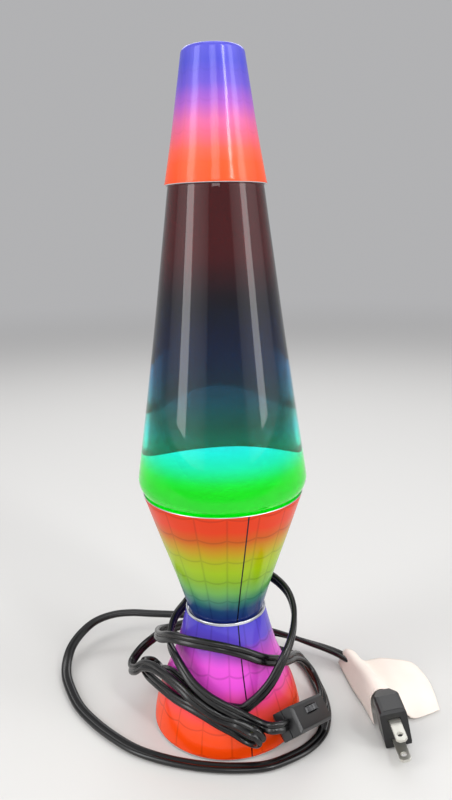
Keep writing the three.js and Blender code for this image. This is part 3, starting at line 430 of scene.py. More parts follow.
@dataclass(frozen=True)
class PrintedWrap:
    """PET film, reverse printed and lacquered, over spun aluminium: wet gloss over saturated colour.

    The print is a rainbow by height with the thin lines of overlapping scales. The lacquer is faintly
    streaked, and a dark seam runs up where the film's two ends meet.
    """

    name: str
    stops: Stops  # heights in mm with their colours
    columns: int = 16
    column_shift: float = 0.098  # of a column that the print is turned
    row_pitch: float = 13.7  # mm
    row_start: float = 0.0  # mm, height of one row's corners
    scallop: float = 1.6  # mm that each scale's edge sags
    band_sag: float = 0.6  # of the scales' sag that the rainbow's bands follow
    line_width: float = 0.9  # mm, coarser than the print's own so that it shows
    line_strength: float = 0.26
    rib_share: float = 0.8  # of that strength, for the lines between columns
    seam_turn: float = math.radians(-73.2)
    seam_width: float = 0.25  # mm
    seam_top: float = 400.0  # mm, height where the seam ends
    seam_colour: str = "#0d0812"
    streak: float = 2.5  # mm between streaks in the lacquer
    streak_run: float = 14.0  # repeats per metre of height
    bump: float = 0.14
    relief: float = 0.4  # mm that the lacquer is uneven by
    metallic: float = 0.1
    roughness: float = 0.3
    stray: tuple[float, float] = (-0.06, 0.1)  # how far the roughness varies
    coat: float = 0.6
    coat_roughness: float = 0.13

    def make(self) -> Material:
        """Builds the material from object coordinates.

        Returns:
            The material.
        """
        shader = Shader(self.name)
        axes = shader.add("ShaderNodeSeparateXYZ", [shader.place]).outputs
        flat = shader.vectors("MULTIPLY", shader.place, (1 / MM, 1 / MM, 0))
        where = Where(
            height=shader.maths("MULTIPLY", axes["Z"], 1 / MM),
            turn=shader.maths("ARCTAN2", axes["Y"], axes["X"]),
            radius=shader.vectors("LENGTH", flat, output="Value"),
        )
        sag, shade = self.scales(shader, where)
        uneven = shader.maths("MULTIPLY_ADD", sag, self.band_sag, where.height)
        printed = shader.multiply(shader.bands(uneven, self.stops), shade)
        colour = shader.mix(printed, linear(self.seam_colour), self.seam(shader, where))
        across = 1 / (self.streak * MM)
        stretched = shader.vectors("MULTIPLY", shader.place, (across, across, self.streak_run))
        streaks = shader.clouds(stretched, 1.0, 3.0)
        bump = shader.bump(streaks, self.bump, self.relief)
        surface = {
            "Base Color": colour,
            "Metallic": self.metallic,
            "Roughness": shader.roughness(streaks, self.roughness, self.stray),
            "Specular IOR Level": 0.0,
            "Normal": bump,
            "Coat Weight": self.coat,
            "Coat Roughness": self.coat_roughness,
            "Coat Normal": bump,
        }
        return shader.finish(shader.surface(surface))

    def scales(self, shader: Shader, where: Where) -> tuple[Socket, Socket]:
        """Draws the scales: each column's lower edge sags, and thin lines run up between the columns.

        Args:
            shader: The material being made.
            where: The shaded point's place.

        Returns:
            How far the scales sag, in millimetres, and how much colour their lines leave.
        """
        column = shader.maths("MULTIPLY_ADD", where.turn, self.columns / FULL_TURN, -self.column_shift)
        middle = shader.maths("SUBTRACT", shader.maths("FRACT", column), 0.5)
        aside = shader.maths("ABSOLUTE", middle)
        squared = shader.maths("POWER", aside, 2.0)
        sag = shader.maths("MULTIPLY_ADD", squared, -4 * self.scallop, self.scallop)
        risen = shader.maths("SUBTRACT", shader.maths("ADD", where.height, sag), self.row_start)
        row = shader.maths("PINGPONG", risen, self.row_pitch / 2)
        edge_line = shader.remap(row, (0.0, self.line_width), (1.0, 0.0), smooth=True)
        column_width = shader.maths("MULTIPLY", where.radius, FULL_TURN / self.columns)
        gap = shader.maths("MULTIPLY", shader.maths("SUBTRACT", 0.5, aside), column_width)
        rib_line = shader.remap(gap, (0.0, self.line_width), (self.rib_share, 0.0), smooth=True)
        line = shader.maths("MAXIMUM", edge_line, rib_line)
        return sag, shader.maths("MULTIPLY_ADD", line, -self.line_strength, 1.0)

    def seam(self, shader: Shader, where: Where) -> Socket:
        """Draws the seam where the film's two ends meet.

        Args:
            shader: The material being made.
            where: The shaded point's place.

        Returns:
            One on the seam, and nothing beside it and above its top.
        """
        side = shader.maths("ABSOLUTE", shader.maths("SUBTRACT", where.turn, self.seam_turn))
        gap = shader.maths("MULTIPLY", side, where.radius)
        line = shader.remap(gap, (self.seam_width, self.seam_width * 2), (1.0, 0.0))
        return shader.maths("MULTIPLY", line, shader.maths("LESS_THAN", where.height, self.seam_top))


@dataclass(frozen=True)
class SpunMetal:
    """Bare metal spun on a lathe or drawn: bright, with fine rings round the lamp's axis."""

    name: str
    colour: str
    roughness: float = 0.28
    ring_pitch: float = 0.5  # mm, coarser than real tool marks so that they show
    ring_run: float = 18.0  # repeats per metre along X and Y
    bump: float = 0.12
    relief: float = 0.1  # mm
    stray: tuple[float, float] = (-0.1, 0.16)  # how far the roughness varies

    def make(self) -> Material:
        """Builds the material from object coordinates.

        Returns:
            The material.
        """
        shader = Shader(self.name)
        stretch = (self.ring_run, self.ring_run, 1 / (self.ring_pitch * MM))
        rings = shader.clouds(shader.vectors("MULTIPLY", shader.place, stretch), 1.0, 4.0)
        surface = {
            "Base Color": linear(self.colour),
            "Metallic": 1.0,
            "Roughness": shader.roughness(rings, self.roughness, self.stray),
            "Normal": shader.bump(rings, self.bump, self.relief),
        }
        return shader.finish(shader.surface(surface))


@dataclass(frozen=True)
class Moulding:
    """Injection-moulded plastic, rubber, glazed ceramic or card: one colour, with a grain of its own."""

    name: str
    colour: str
    roughness: float
    grain: float  # mm
    relief: float = 0.05  # mm of bump
    shift: float = 0.12  # how far the colour varies
    cloud_run: float = 70.0  # repeats per metre of that variation
    bump: float = 0.25
    stray: tuple[float, float] = (-0.07, 0.09)  # how far the roughness varies
    coat: float = 0.0
    sheen: float = 0.0

    def make(self) -> Material:
        """Builds the material from object coordinates.

        Returns:
            The material.
        """
        shader = Shader(self.name)
        grains = shader.clouds(shader.place, 1 / (self.grain * MM), 5.0)
        clouds = shader.clouds(shader.place, self.cloud_run, 2.0)
        shade = shader.remap(clouds, result=(1 - self.shift, 1 + self.shift))
        surface = {
            "Base Color": shader.multiply(linear(self.colour), shade),
            "Roughness": shader.roughness(grains, self.roughness, self.stray),
            "Normal": shader.bump(grains, self.bump, self.relief),
            "Coat Weight": self.coat,
            "Sheen Weight": self.sheen,
        }
        return shader.finish(shader.surface(surface))


@dataclass(frozen=True)
class TintedClear:
    """Clear glass or liquid, tinted by height, that lamps shine through: sharp reflections, deep colour."""

    name: str
    stops: Stops  # heights in mm with the colour that one pass lets through
    ior: float = 1.5

    def make(self) -> Material:
        """Builds the material from object coordinates.

        Returns:
            The material.
        """
        shader = Shader(self.name)
        axes = shader.add("ShaderNodeSeparateXYZ", [shader.place]).outputs
        tint = shader.bands(axes["Z"], self.stops, MM)
        surface = {
            "Base Color": shader.multiply(tint, tint),
            "Roughness": 0.0,
            "IOR": self.ior,
            "Transmission Weight": 1.0,
        }
        through = shader.add("ShaderNodeBsdfTransparent", [tint]).outputs[0]
        for_lamps = shader.add("ShaderNodeLightPath").outputs["Is Shadow Ray"]
        mixed = shader.add("ShaderNodeMixShader", [for_lamps, shader.surface(surface), through])
        return shader.finish(mixed.outputs[0])


@dataclass(frozen=True)
class WaxWithPaintedGlow:
    """Dyed paraffin wax with a painted glow: its emission stands in for the light that the tinted glass keeps
    from it, so that it looks even, soft and bright.
    """

    name: str = "dyed_wax_with_painted_glow"
    colour: str = "#78ffff"
    # strength of the painted glow, which stands in for light reaching the wax through the glass
    glow: float = 2.6
    cloud_run: float = 45.0  # repeats per metre of its faint clouds
    shades: tuple[float, float] = (0.9, 1.06)  # of the colour, in those clouds
    roughness: float = 0.4
    bump: float = 0.15
    relief: float = 1.0  # mm

    def make(self) -> Material:
        """Builds the material from object coordinates.

        Returns:
            The material.
        """
        shader = Shader(self.name)
        clouds = shader.clouds(shader.place, self.cloud_run, 2.0)
        colour = shader.multiply(linear(self.colour), shader.remap(clouds, result=self.shades))
        surface = {
            "Base Color": colour,
            "Roughness": self.roughness,
            "Normal": shader.bump(clouds, self.bump, self.relief),
            # Painted glow: the wax shines in its own colour, as if lit through the glass
            "Emission Color": colour,
            "Emission Strength": self.glow,
        }
        return shader.finish(shader.surface(surface))


class Finishes:
    """Every finish on the lamp, made once."""

    def __init__(self) -> None:
        """Makes the materials."""
        self.foot_wrap = PrintedWrap(
            "foot_wrap",
            (
                (2, "#fb4a08"), (12, "#fb4b12"), (18, "#f94d2c"), (24, "#f24a50"), (31, "#e8489c"),
                (38, "#e64fd2"), (48, "#e856d8"), (54, "#b850cc"), (59, "#6a4fd0"), (70, "#5148c4"),
            ),
            row_start=2.6,
        ).make()
        self.cup_wrap = PrintedWrap(
            "cup_wrap",
            (
                (72, "#1a2a70"), (80, "#21456f"), (86, "#3c7f69"), (93, "#6fae50"), (100, "#86b222"),
                (107, "#9dbf08"), (114, "#a9b305"), (120.5, "#c09405"), (127, "#c85c06"), (134, "#de3a08"),
                (143, "#d8380a"),
            ),
            row_start=4.8,
        ).make()
        self.cap_wrap = PrintedWrap(
            "cap_wrap",
            (
                (304, "#f25428"), (314, "#fb5a30"), (320, "#f4604c"), (326, "#e8627a"), (333, "#d8669c"),
                (341, "#a85cc0"), (350, "#6a54c8"), (360, "#5050c6"), (368, "#5a58cc"),
            ),
            line_strength=0.05,
            seam_turn=math.radians(98),
            seam_top=364.0,
        ).make()
        self.aluminium = SpunMetal("bare_spun_aluminium", "#dfe1e4").make()
        self.steel = SpunMetal("zinc_plated_steel", "#b9bcc0", 0.32).make()
        self.brass = SpunMetal("rolled_brass", "#d9b25c", 0.26).make()
        self.nickel = SpunMetal("nickel_plated_brass", "#cfcec6", 0.42).make()
        self.ceramic = Moulding("glazed_porcelain", "#e8e3d8", 0.2, 0.8, 0.03, 0.04, coat=0.6).make()
        self.rubber = Moulding("moulded_rubber", "#262628", 0.75, 0.3, 0.06).make()
        self.plastic = Moulding("moulded_abs", "#141416", 0.33, 0.35, 0.04).make()
        # Black ABS drawn as a lighter grey: a painted highlight, so that the wheel's ridges show as if lit
        self.wheel = Moulding("ridged_wheel_abs_painted_highlight", "#3d3d40", 0.3, 0.35, 0.03).make()
        self.cord = Moulding("extruded_pvc", "#0c0c0d", 0.22, 0.9, 0.02, 0.2).make()
        self.card = Moulding("coated_card", "#f6eae0", 0.7, 0.45, 0.05, 0.06, sheen=0.1).make()
        self.tungsten = SpunMetal("drawn_tungsten", "#8d8d90", 0.35).make()
        self.bulb_glass = TintedClear("clear_bulb_glass", ((40, "#f6f8f8"), (100, "#f6f8f8")), 1.45).make()
        self.globe_glass = TintedClear(
            "tinted_bottle_glass",
            (
                (100, "#078807"), (151, "#078c07"), (156, "#079309"), (159, "#07971f"), (161, "#079832"),
                (164.5, "#079a58"), (168, "#079d74"), (176, "#0ca294"), (182, "#3a9698"), (188, "#5a7c74"),
                (195, "#56747a"), (202, "#4b6e86"), (210, "#43638a"), (218, "#3c5884"), (226, "#364f7c"),
                (235, "#384b77"), (245, "#504862"), (256, "#8e5561"), (268, "#aa525a"), (280, "#a75157"),
                (340, "#a45457"),
            ),
        ).make()
        self.inner_glass = TintedClear("clear_bottle_glass", ((100, "#fbfdfd"), (340, "#fbfdfd"))).make()
        self.liquid = TintedClear("clear_filling", ((140, "#fafbfb"), (318, "#fafbfb")), 1.34).make()
        self.wax = WaxWithPaintedGlow().make()


# Sub-assemblies


@dataclass
class Foot:
    """The lower cone, with the bright lip that stands up round the waist. Sizes are in millimetres."""

    wall: float = 0.8
    bare_edge: float = 1.3  # height under which the film's cut edge is left off
    waist: float = 69.9
    bare_lip: float = 0.4  # below the waist, where the print ends
    lip_height: float = 1.3
    clear: float = 0.3  # between the flange and the cup's floor
    flange: float = 15.3
    facets: int = 160
    outline: Outline = field(
        default_factory=lambda: [
            (43.55, 1.0), (43.4, 3.4), (42.4, 9.5), (39.7, 19.6), (36.2, 28.5), (32.9, 36.5), (29.7, 44.5),
            (27.1, 53.2), (24.9, 61.5), (23.3, 68.3), (23.0, 70.4),
        ]
    )

    def build(self, finishes: Finishes) -> None:
        """Spins the foot, printed outside and bare inside.

        Args:
            finishes: The lamp's finishes.
        """
        outside = curved(self.outline)
        inside = [p for p in offset(outside, self.wall) if p[1] < self.waist - 2 * self.wall]
        lip = self.outline[-1][0]
        round_edge = self.wall / 2
        flange_top = self.waist - self.clear
        profile = [
            *outside,
            *arc((lip - round_edge, self.waist + self.lip_height - round_edge), round_edge, 0, 180, 6),
            (lip - self.wall, flange_top),
            (self.flange, flange_top),
            (self.flange, flange_top - self.wall),
            (lip - self.wall, flange_top - self.wall),
            *reversed(inside),
        ]
        mesh = spun(profile, self.facets, closed=True)
        printed = (outside, self.wall, self.bare_edge, self.waist - self.bare_lip)
        paint(mesh, lambda face, reach, height: on_wall(*printed, reach, height))
        sharpen(mesh)
        foot = piece_from("foot", mesh, "base", [finishes.foot_wrap, finishes.aluminium])
        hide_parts("lower_cone")


@dataclass
class Cup:
    """The upper cone that holds the globe. Sizes are in millimetres."""

    wall: float = 0.8
    floor: float = 69.9
    shoulder: float = 142.3
    flange: float = 15.3
    bare_rim: float = 0.45  # unprinted edge under the rim
    facets: int = 160
    outline: Outline = field(
        default_factory=lambda: [(21.1, 69.9), (28.35, 94.0), (36.45, 118.2), (44.2, 142.3)]
    )

    def build(self, finishes: Finishes) -> None:
        """Spins the cup, printed outside and bare inside, with a rounded rim.

        Args:
            finishes: The lamp's finishes.
        """
        outside = curved(self.outline)
        above_floor = self.floor + 2 * self.wall
        inside = [p for p in offset(outside, self.wall) if above_floor < p[1] < self.shoulder]
        profile = [
            (self.flange, self.floor),
            *outside,
            *arc((self.outline[-1][0] - self.wall / 2, self.shoulder), self.wall / 2, 0, 180, 6),
            *reversed(inside),
            (self.outline[0][0] - self.wall, self.floor + self.wall),
            (self.flange, self.floor + self.wall),
        ]
        mesh = spun(profile, self.facets, closed=True)
        printed = (outside, self.wall, self.floor, self.shoulder - self.bare_rim)
        paint(mesh, lambda face, reach, height: on_wall(*printed, reach, height))
        sharpen(mesh)
        cup = piece_from("cup", mesh, "base", [finishes.cup_wrap, finishes.aluminium])
        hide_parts("upper_cone")


@dataclass
class Cap:
    """The loose cap over the globe's neck. Sizes are in millimetres."""

    wall: float = 0.8
    hem: float = 0.5
    hem_height: float = 3.0
    top: float = 367.7
    dome: float = 0.05  # that the roof rises half way to its middle
    edge: float = 3.0
    lean: float = 9.0  # degrees that the wall leans in under the edge
    roof: float = 12.8
    facets: int = 128
    outline: Outline = field(
        default_factory=lambda: [
            (26.0, 303.9), (24.2, 313.5), (22.45, 323.2), (20.8, 332.8), (19.3, 342.4), (17.8, 352.0),
            (16.2, 362.2),
        ]
    )

    def build(self, finishes: Finishes) -> None:
        """Spins the cap with its folded hem and rounded top edge.

        Args:
            finishes: The lamp's finishes.
        """
        outside = curved(self.outline)
        edge_centre = (self.roof, self.top - self.edge)
        rim, low = self.outline[0]
        fold = self.wall + self.hem
        hem_top = low + self.hem_height
        inside = [p for p in offset(outside, self.wall) if p[1] > hem_top + self.hem]
        profile = [
            *outside[1:],
            *arc(edge_centre, self.edge, self.lean, 90, 10),
            (self.roof / 2, self.top + self.dome),
            (0.0, self.top),
            (0.0, self.top - self.wall),
            *arc(edge_centre, self.edge - self.wall, 90, self.lean, 8),
            *reversed(inside),
            (radius_at(outside, hem_top) - fold, hem_top),
            *arc((rim - fold / 2, low + fold / 2), fold / 2, 180, 360, 8),
        ]
        mesh = spun(profile, self.facets)
        self.close_rim(mesh)
        wall_top = self.outline[-1][1]
        printed = (outside, self.wall, low + fold / 4, wall_top)
        paint(
            mesh,
            lambda face, reach, height: on_wall(*printed, reach, height)
            or (height > wall_top and face.normal.z > 0),
        )
        sharpen(mesh)
        cap = piece_from("cap", mesh, "cap", [finishes.cap_wrap, finishes.aluminium])
        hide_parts("cap_shell")

    @staticmethod
    def close_rim(mesh: Mesh) -> None:
        """Joins the hem's edge to the wall's lower edge, and turns all faces outwards."""
        bmesh.ops.bridge_loops(mesh, edges=[edge for edge in mesh.edges if edge.is_boundary])
        bmesh.ops.recalc_face_normals(mesh, faces=mesh.faces)


@dataclass
class Globe:
    """The bottle with its liquid and its wax. Sizes are in millimetres."""

    glass: float = 2.3
    neck_radius: float = 13.2
    neck_end: float = 336.6
    neck_top: float = 340.0
    bead: float = 14.2
    bead_round: float = 1.2
    bead_height: float = 338.2
    mouth_step: float = 1.4  # that the mouth lies inside the bead
    inner_start: float = 107.5  # height from which the inside follows the outside
    facets: int = 160
    spans: int = 5
    level: float = 316.0
    liquid_overlap: float = 0.15  # into the glass, so that no air shows between
    liquid_depth: float = 2.0  # into the wax
    liquid_inset: float = 1.5  # of its lowest edge from the glass
    wax_overlap: float = 0.3  # into the glass
    wax_foot: float = 24.2  # radius of its flat underside
    wax_contact: float = 142.6  # height where the mound leaves the glass
    wax_height: float = 165.0
    wax_fullness: float = 3.2  # 2 is an ellipse, more is squarer
    wax_steps: int = 18  # parts that the mound's line is cut into
    wax_peak: float = 9.0  # of the mound's highest point from the axis, along X
    wax_curve: float = 0.0043  # how far the top falls, per square mm from its peak
    wax_tail: float = 0.0012  # how much more it falls on the -X side
    wax_brow: float = 18.0  # from the peak, along +X, where a steeper side starts
    wax_fall: float = 0.037  # how much more it falls from there
    wax_shift: float = 3.5  # that the mound leans to -X
    wax_shoulder: float = 6.0  # below the top, where the mound's top takes its full slope
    swell: float = 0.7  # height of its faint unevenness
    swell_run: float = 30.0  # repeats per metre
    swell_seed: float = 0.4
    heel: Outline = field(
        default_factory=lambda: [(0.0, 103.0), (20.0, 103.0), (25.4, 103.0), (28.6, 104.2), (30.3, 105.6)]
    )
    inner_heel: Outline = field(default_factory=lambda: [(0.0, 105.3), (24.0, 105.3), (27.6, 106.4)])
    outline: Outline = field(
        default_factory=lambda: [
            (30.9, 107.0), (36.0, 120.8), (40.6, 135.0), (43.05, 142.9), (44.55, 144.9), (45.7, 147.2),
            (46.2, 149.8), (45.98, 153.3), (43.2, 171.5), (40.2, 191.0), (37.4, 210.0), (34.69, 228.6),
            (32.1, 247.4), (29.54, 266.3), (26.95, 285.1), (24.4, 303.9), (21.9, 319.0), (20.3, 323.5),
            (15.4, 329.2), (13.2, 332.5),
        ]
    )

    def outer(self) -> Outline:
        """Draws the bottle's outside.

        Returns:
            Its line from the middle of the floor to the mouth.
        """
        bead = arc((self.bead - self.bead_round, self.bead_height), self.bead_round, -60, 60, 4)
        neck = (self.neck_radius, self.neck_end)
        mouth = (self.bead - self.mouth_step, self.neck_top)
        return [*self.heel, *curved(self.outline, self.spans), neck, *bead, mouth]

    def inner_wall(self) -> Outline:
        """Draws the inside of the glass.

        Returns:
            Its line from above the heel to the mouth.
        """
        bore = self.neck_radius - self.glass
        wall = [(max(r - self.glass, bore), z) for r, z in curved(self.outline, self.spans)]
        return [*[p for p in wall if p[1] > self.inner_start], (bore, self.neck_top)]

    def build(self, finishes: Finishes) -> None:
        """Makes the bottle, the liquid and the wax.

        Args:
            finishes: The lamp's finishes.
        """
        self.build_bottle(finishes)
        self.build_liquid(finishes)
        self.build_wax(finishes)

    def build_bottle(self, finishes: Finishes) -> None:
        """Spins the bottle, tinted outside and clear inside.

        Args:
            finishes: The lamp's finishes.
        """
        outer = self.outer()
        wall = outer[len(self.heel) - 1 :]
        mesh = spun([*outer, *reversed([*self.inner_heel, *self.inner_wall()])], self.facets)
        floor = self.heel[0][1] + self.glass / 2
        paint(
            mesh,
            lambda face, reach, height: height <= floor or reach >= radius_at(wall, height) - self.glass / 2,
        )
        bottle = piece_from("bottle", mesh, "globe", [finishes.globe_glass, finishes.inner_glass])
        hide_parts("globe_glass")

    def build_liquid(self, finishes: Finishes) -> None:
        """Spins the liquid, which reaches a little into the glass and the wax.

        Args:
            finishes: The lamp's finishes.
        """
        low = self.wax_contact - self.liquid_depth
        side = [(r + self.liquid_overlap, z) for r, z in self.inner_wall() if low < z < self.level]
        lowest = (side[0][0] - self.liquid_inset, low)
        profile = [(0.0, low), lowest, *side, (side[-1][0], self.level), (0.0, self.level)]
        liquid = piece_from("dyed_filling", spun(profile, self.facets), "globe", [finishes.liquid])
        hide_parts("liquid")

    def build_wax(self, finishes: Finishes) -> None:
        """Spins the wax, which fills the glass inside the cup and rises from there as a leaning mound.

        Args:
            finishes: The lamp's finishes.
        """
        inner = self.inner_wall()
        side = [(r + self.wax_overlap, z) for r, z in inner if z < self.wax_contact]
        edge, foot = side[-1]
        rise = self.wax_height - foot
        power = 2 / self.wax_fullness
        turns = [math.radians(90 / self.wax_steps * i) for i in range(1, self.wax_steps)]
        mound = [(edge * math.cos(t) ** power, foot + rise * math.sin(t) ** power) for t in turns]
        underside = self.inner_heel[0][1] - self.wax_overlap
        base = [(0.0, underside), (self.wax_foot, underside)]
        mesh = spun([*base, *side, *mound, (0.0, self.wax_height)], self.facets)
        for vert in mesh.verts:
            lift = smooth_step(foot, self.wax_height - self.wax_shoulder, vert.co.z / MM)
            if lift == 0:
                continue
            vert.co.z += lift * self.slump(vert.co) * MM
            vert.co.x -= lift * self.wax_shift * MM
            limit = radius_at(inner, vert.co.z / MM) + self.wax_overlap
            reach = math.hypot(vert.co.x, vert.co.y) / MM
            if reach > limit:
                vert.co.x *= limit / reach
                vert.co.y *= limit / reach
        wax = piece_from("settled_wax", mesh, "globe", [finishes.wax])
        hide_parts("wax")

    def slump(self, place: Vector) -> float:
        """Finds how far the mound's top lies above its plain form.

        Args:
            place: A point of the top, in metres.

        Returns:
            The height in millimetres, which is less than nothing where the top has slumped.
        """
        swell = noise.noise(Vector((place.x * self.swell_run, place.y * self.swell_run, self.swell_seed)))
        aside = place.x / MM - self.wax_peak
        fall = self.wax_curve * (aside * aside + (place.y / MM) ** 2)
        fall += self.wax_tail * min(0.0, aside) ** 2 + self.wax_fall * max(0.0, aside - self.wax_brow) ** 2
        return self.swell * swell - fall


@dataclass
class Bulb:
    """The bulb's glass. Sizes are in millimetres."""

    radius: float = 17.5
    top: float = 99.0
    neck: float = 7.1
    wall: float = 0.6
    foot: float = 56.0
    shoulder: float = 63.3
    ball_start: float = -48.0  # degrees from level where the ball begins over the shoulder
    facets: int = 96

    def line(self, depth: float) -> Outline:
        """Draws the glass from its neck to its top.

        Args:
            depth: How far the line lies inside the outer surface, in millimetres.

        Returns:
            The line.
        """
        ball = arc((0.0, self.top - self.radius), self.radius - depth, self.ball_start, 90, 22)
        neck = [(self.neck - depth, self.foot), (self.neck - depth, self.shoulder)]
        return [*neck, *[(max(r, 0.0), z) for r, z in ball]]

    def build(self, finishes: Finishes) -> None:
        """Spins the glass, open at its foot.

        Args:
            finishes: The lamp's finishes.
        """
        profile = [*self.line(0.0), *reversed(self.line(self.wall))]
        mesh = spun(profile, self.facets, closed=True)
        glass = piece_from("lamp_bulb", mesh, "bulb", [finishes.bulb_glass])
        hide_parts("bulb_glass")


@dataclass
class CadDress:
    """Finishes for the CAD nodes whose shape is right, with a rounding in millimetres for those that show."""

    rounding: dict[str, float] = field(
        default_factory=lambda: {
            "switch_upper_shell": 0.45, "switch_lower_shell": 0.45, "plug_body": 0.5, "plug_blade_1": 0.25,
            "plug_blade_2": 0.25, "switch_wheel": 0.12, "socket_body": 0.3, "bottom_cover": 0.2,
        }
    )

    def build(self, nodes: dict[str, Object], finishes: Finishes) -> None:
        """Gives each of these nodes its finish and its rounding.

        Args:
            nodes: The CAD nodes' objects, by name.
            finishes: The lamp's finishes.
        """
        plastic = ["switch_upper_shell", "switch_lower_shell", "plug_body", "bulb_insulator", "bottom_cover"]
        brass = ["socket_screw_shell", "socket_centre_contact", "bulb_screw_base", "bulb_tip_contact"]
        dressed = (
            (finishes.plastic, plastic),
            (finishes.wheel, ["switch_wheel"]),
            (finishes.nickel, self.numbered("plug_blade", 2)),
            (finishes.brass, brass),
            (finishes.brass, [*self.numbered("socket_terminal", 2), *self.numbered("switch_contact", 2)]),
            (finishes.steel, ["socket_holder", "warming_spring", "crown_seal"]),
            (finishes.steel, [*self.numbered("waist_rivet", 3), *self.numbered("cover_screw", 3)]),
            (finishes.steel, self.numbered("switch_screw", 2)),
            (finishes.ceramic, ["socket_body"]),
            (finishes.rubber, self.numbered("rubber_foot", 4)),
            (finishes.cord, self.numbered("socket_lead", 2)),
            (finishes.card, ["crown_liner"]),
            (finishes.tungsten, ["bulb_filament"]),
            (finishes.bulb_glass, ["bulb_stem"]),
        )
        for finish, names in dressed:
            for name in names:
                repaint(nodes[name], finish)
        for name, width in self.rounding.items():
            soften(nodes[name], width)

    @staticmethod
    def numbered(name: str, count: int) -> list[str]:
        """The names of a repeated node, from NAME_1 on."""
        return [f"{name}_{i}" for i in range(1, count + 1)]


# Cords


@dataclass
class Route:
    """A smooth line through given points, in millimetres, and how a flat cord lies along it."""

    points: list[Point]
    step: float = 1.5
    lifted: tuple[float, float] = (4.0, 15.0)  # heights over which it turns from the table to the lamp
    wrapped: tuple[float, float] = (70.0, 90.0)  # distances from the axis over which it turns back
    tight: tuple[float, float] = (60.0, 150.0)  # bends, per metre, over which it turns on edge
    edge_pull: float = 2.5  # weight of a tight bend, against one for the table and the lamp
    bend_reach: int = 3  # samples each way that a bend is measured over
    even_reach: int = 4  # samples each way that its turning is evened out over
    even_passes: int = 3

    def line(self) -> list[Vector]:
        """Samples the centripetal curve through the points.

        Returns:
            The samples, in metres.
        """
        given = [Vector(p) for p in self.points]
        ends = [2 * given[0] - given[1], *given, 2 * given[-1] - given[-2]]
        sampled = [given[0] * MM]
        for before, start, end, after in zip(ends, ends[1:], ends[2:], ends[3:]):
            t0, t1, t2 = ((b - a).length ** 0.5 for a, b in ((before, start), (start, end), (end, after)))
            leave = ((start - before) / t0 - (end - before) / (t0 + t1) + (end - start) / t1) * t1
            reach = ((end - start) / t1 - (after - start) / (t1 + t2) + (after - end) / t2) * t1
            count = max(2, math.ceil((end - start).length / self.step))
            for i in range(1, count + 1):
                t = i / count
                place = (
                    start * (2 * t**3 - 3 * t**2 + 1)
                    + leave * (t**3 - 2 * t**2 + t)
                    + end * (3 * t**2 - 2 * t**3)
                    + reach * (t**3 - t**2)
                )
                sampled.append(place * MM)
        return sampled

    @staticmethod
    def length(line: Sequence[Vector]) -> float:
        """Adds up a sampled line."""
        return sum((b - a).length for a, b in zip(line, line[1:]))

    def faces(self, line: Sequence[Vector]) -> list[tuple[Vector, Vector]]:
        """Finds how a flat cord lies along the line.

        It lies flat on the table, turns its flat side out from the lamp where it's wrapped, and
        stands on edge round a tight fold, which is how such a cord bends.

        Args:
            line: The sampled centreline, in metres.

        Returns:
            For each sample, the direction across the cord's width and the one its flat side looks in.
        """
        last = len(line) - 1
        along = [(line[min(i + 1, last)] - line[max(i - 1, 0)]).normalized() for i in range(len(line))]
        carried = [self.square_to(Vector((0, 0, 1)), along[0])]
        for before, after in zip(along, along[1:]):
            carried.append(self.square_to(before.rotation_difference(after) @ carried[-1], after))
        pulls = [self.pull(line, along, first, i) for i, first in enumerate(carried)]
        result, angle = [], None
        for tangent, first, pull in zip(along, carried, self.evened(pulls)):
            wanted = math.atan2(pull.y, pull.x) / 2
            angle = wanted if angle is None else wanted + math.pi * round((angle - wanted) / math.pi)
            face = first * math.cos(angle) + tangent.cross(first) * math.sin(angle)
            result.append((tangent.cross(face), face))
        return result

    def pull(self, line: Sequence[Vector], along: Sequence[Vector], first: Vector, index: int) -> Vector:
        """Weighs where the flat side should look at one sample.

        Args:
            line: The sampled centreline, in metres.
            along: The tangent at each sample.
            first: The direction at this sample from which angles round the tangent are measured.
            index: The sample's number.

        Returns:
            A pull at twice the angle wanted, because a flat cord turned by half a turn is the same.
        """
        place, tangent = line[index], along[index]
        second = tangent.cross(first)
        out = Vector((place.x, place.y, 0))
        near, far = self.wrapped
        low, high = self.lifted
        lamp = smooth_step(low * MM, high * MM, place.z) * (1 - smooth_step(near * MM, far * MM, out.length))
        wanted = Vector((0, 0, 1)) * (1 - lamp) + out.normalized() * lamp
        wanted = wanted - tangent * wanted.dot(tangent)
        before = max(index - self.bend_reach, 0)
        after = min(index + self.bend_reach, len(line) - 1)
        bend = along[after] - along[before]
        curvature = bend.length / max((line[after] - line[before]).length, TINY)
        total = Vector((0.0, 0.0))
        on_edge = self.edge_pull * smooth_step(*self.tight, curvature)
        for direction, weight in ((wanted, 1.0), (bend, on_edge)):
            if weight > 0 and direction.length > TINY:
                angle = 2 * math.atan2(direction.dot(second), direction.dot(first))
                total += weight * Vector((math.cos(angle), math.sin(angle)))
        return total

    def evened(self, pulls: list[Vector]) -> list[Vector]:
        """Evens out the pulls along the line.

        Args:
            pulls: The pull at each sample.

        Returns:
            The evened pulls.
        """
        last = len(pulls) - 1
        window = range(-self.even_reach, self.even_reach + 1)
        for _ in range(self.even_passes):
            pulls = [
                sum((pulls[max(0, min(last, i + k))] for k in window), Vector((0.0, 0.0))) / len(window)
                for i in range(last + 1)
            ]
        return pulls

    @staticmethod
    def square_to(direction: Vector, tangent: Vector) -> Vector:
        """The part of a direction that is square to the tangent, at length one."""
        square = direction - tangent * direction.dot(tangent)
        return square.normalized() if square.length > TINY else tangent.orthogonal().normalized()


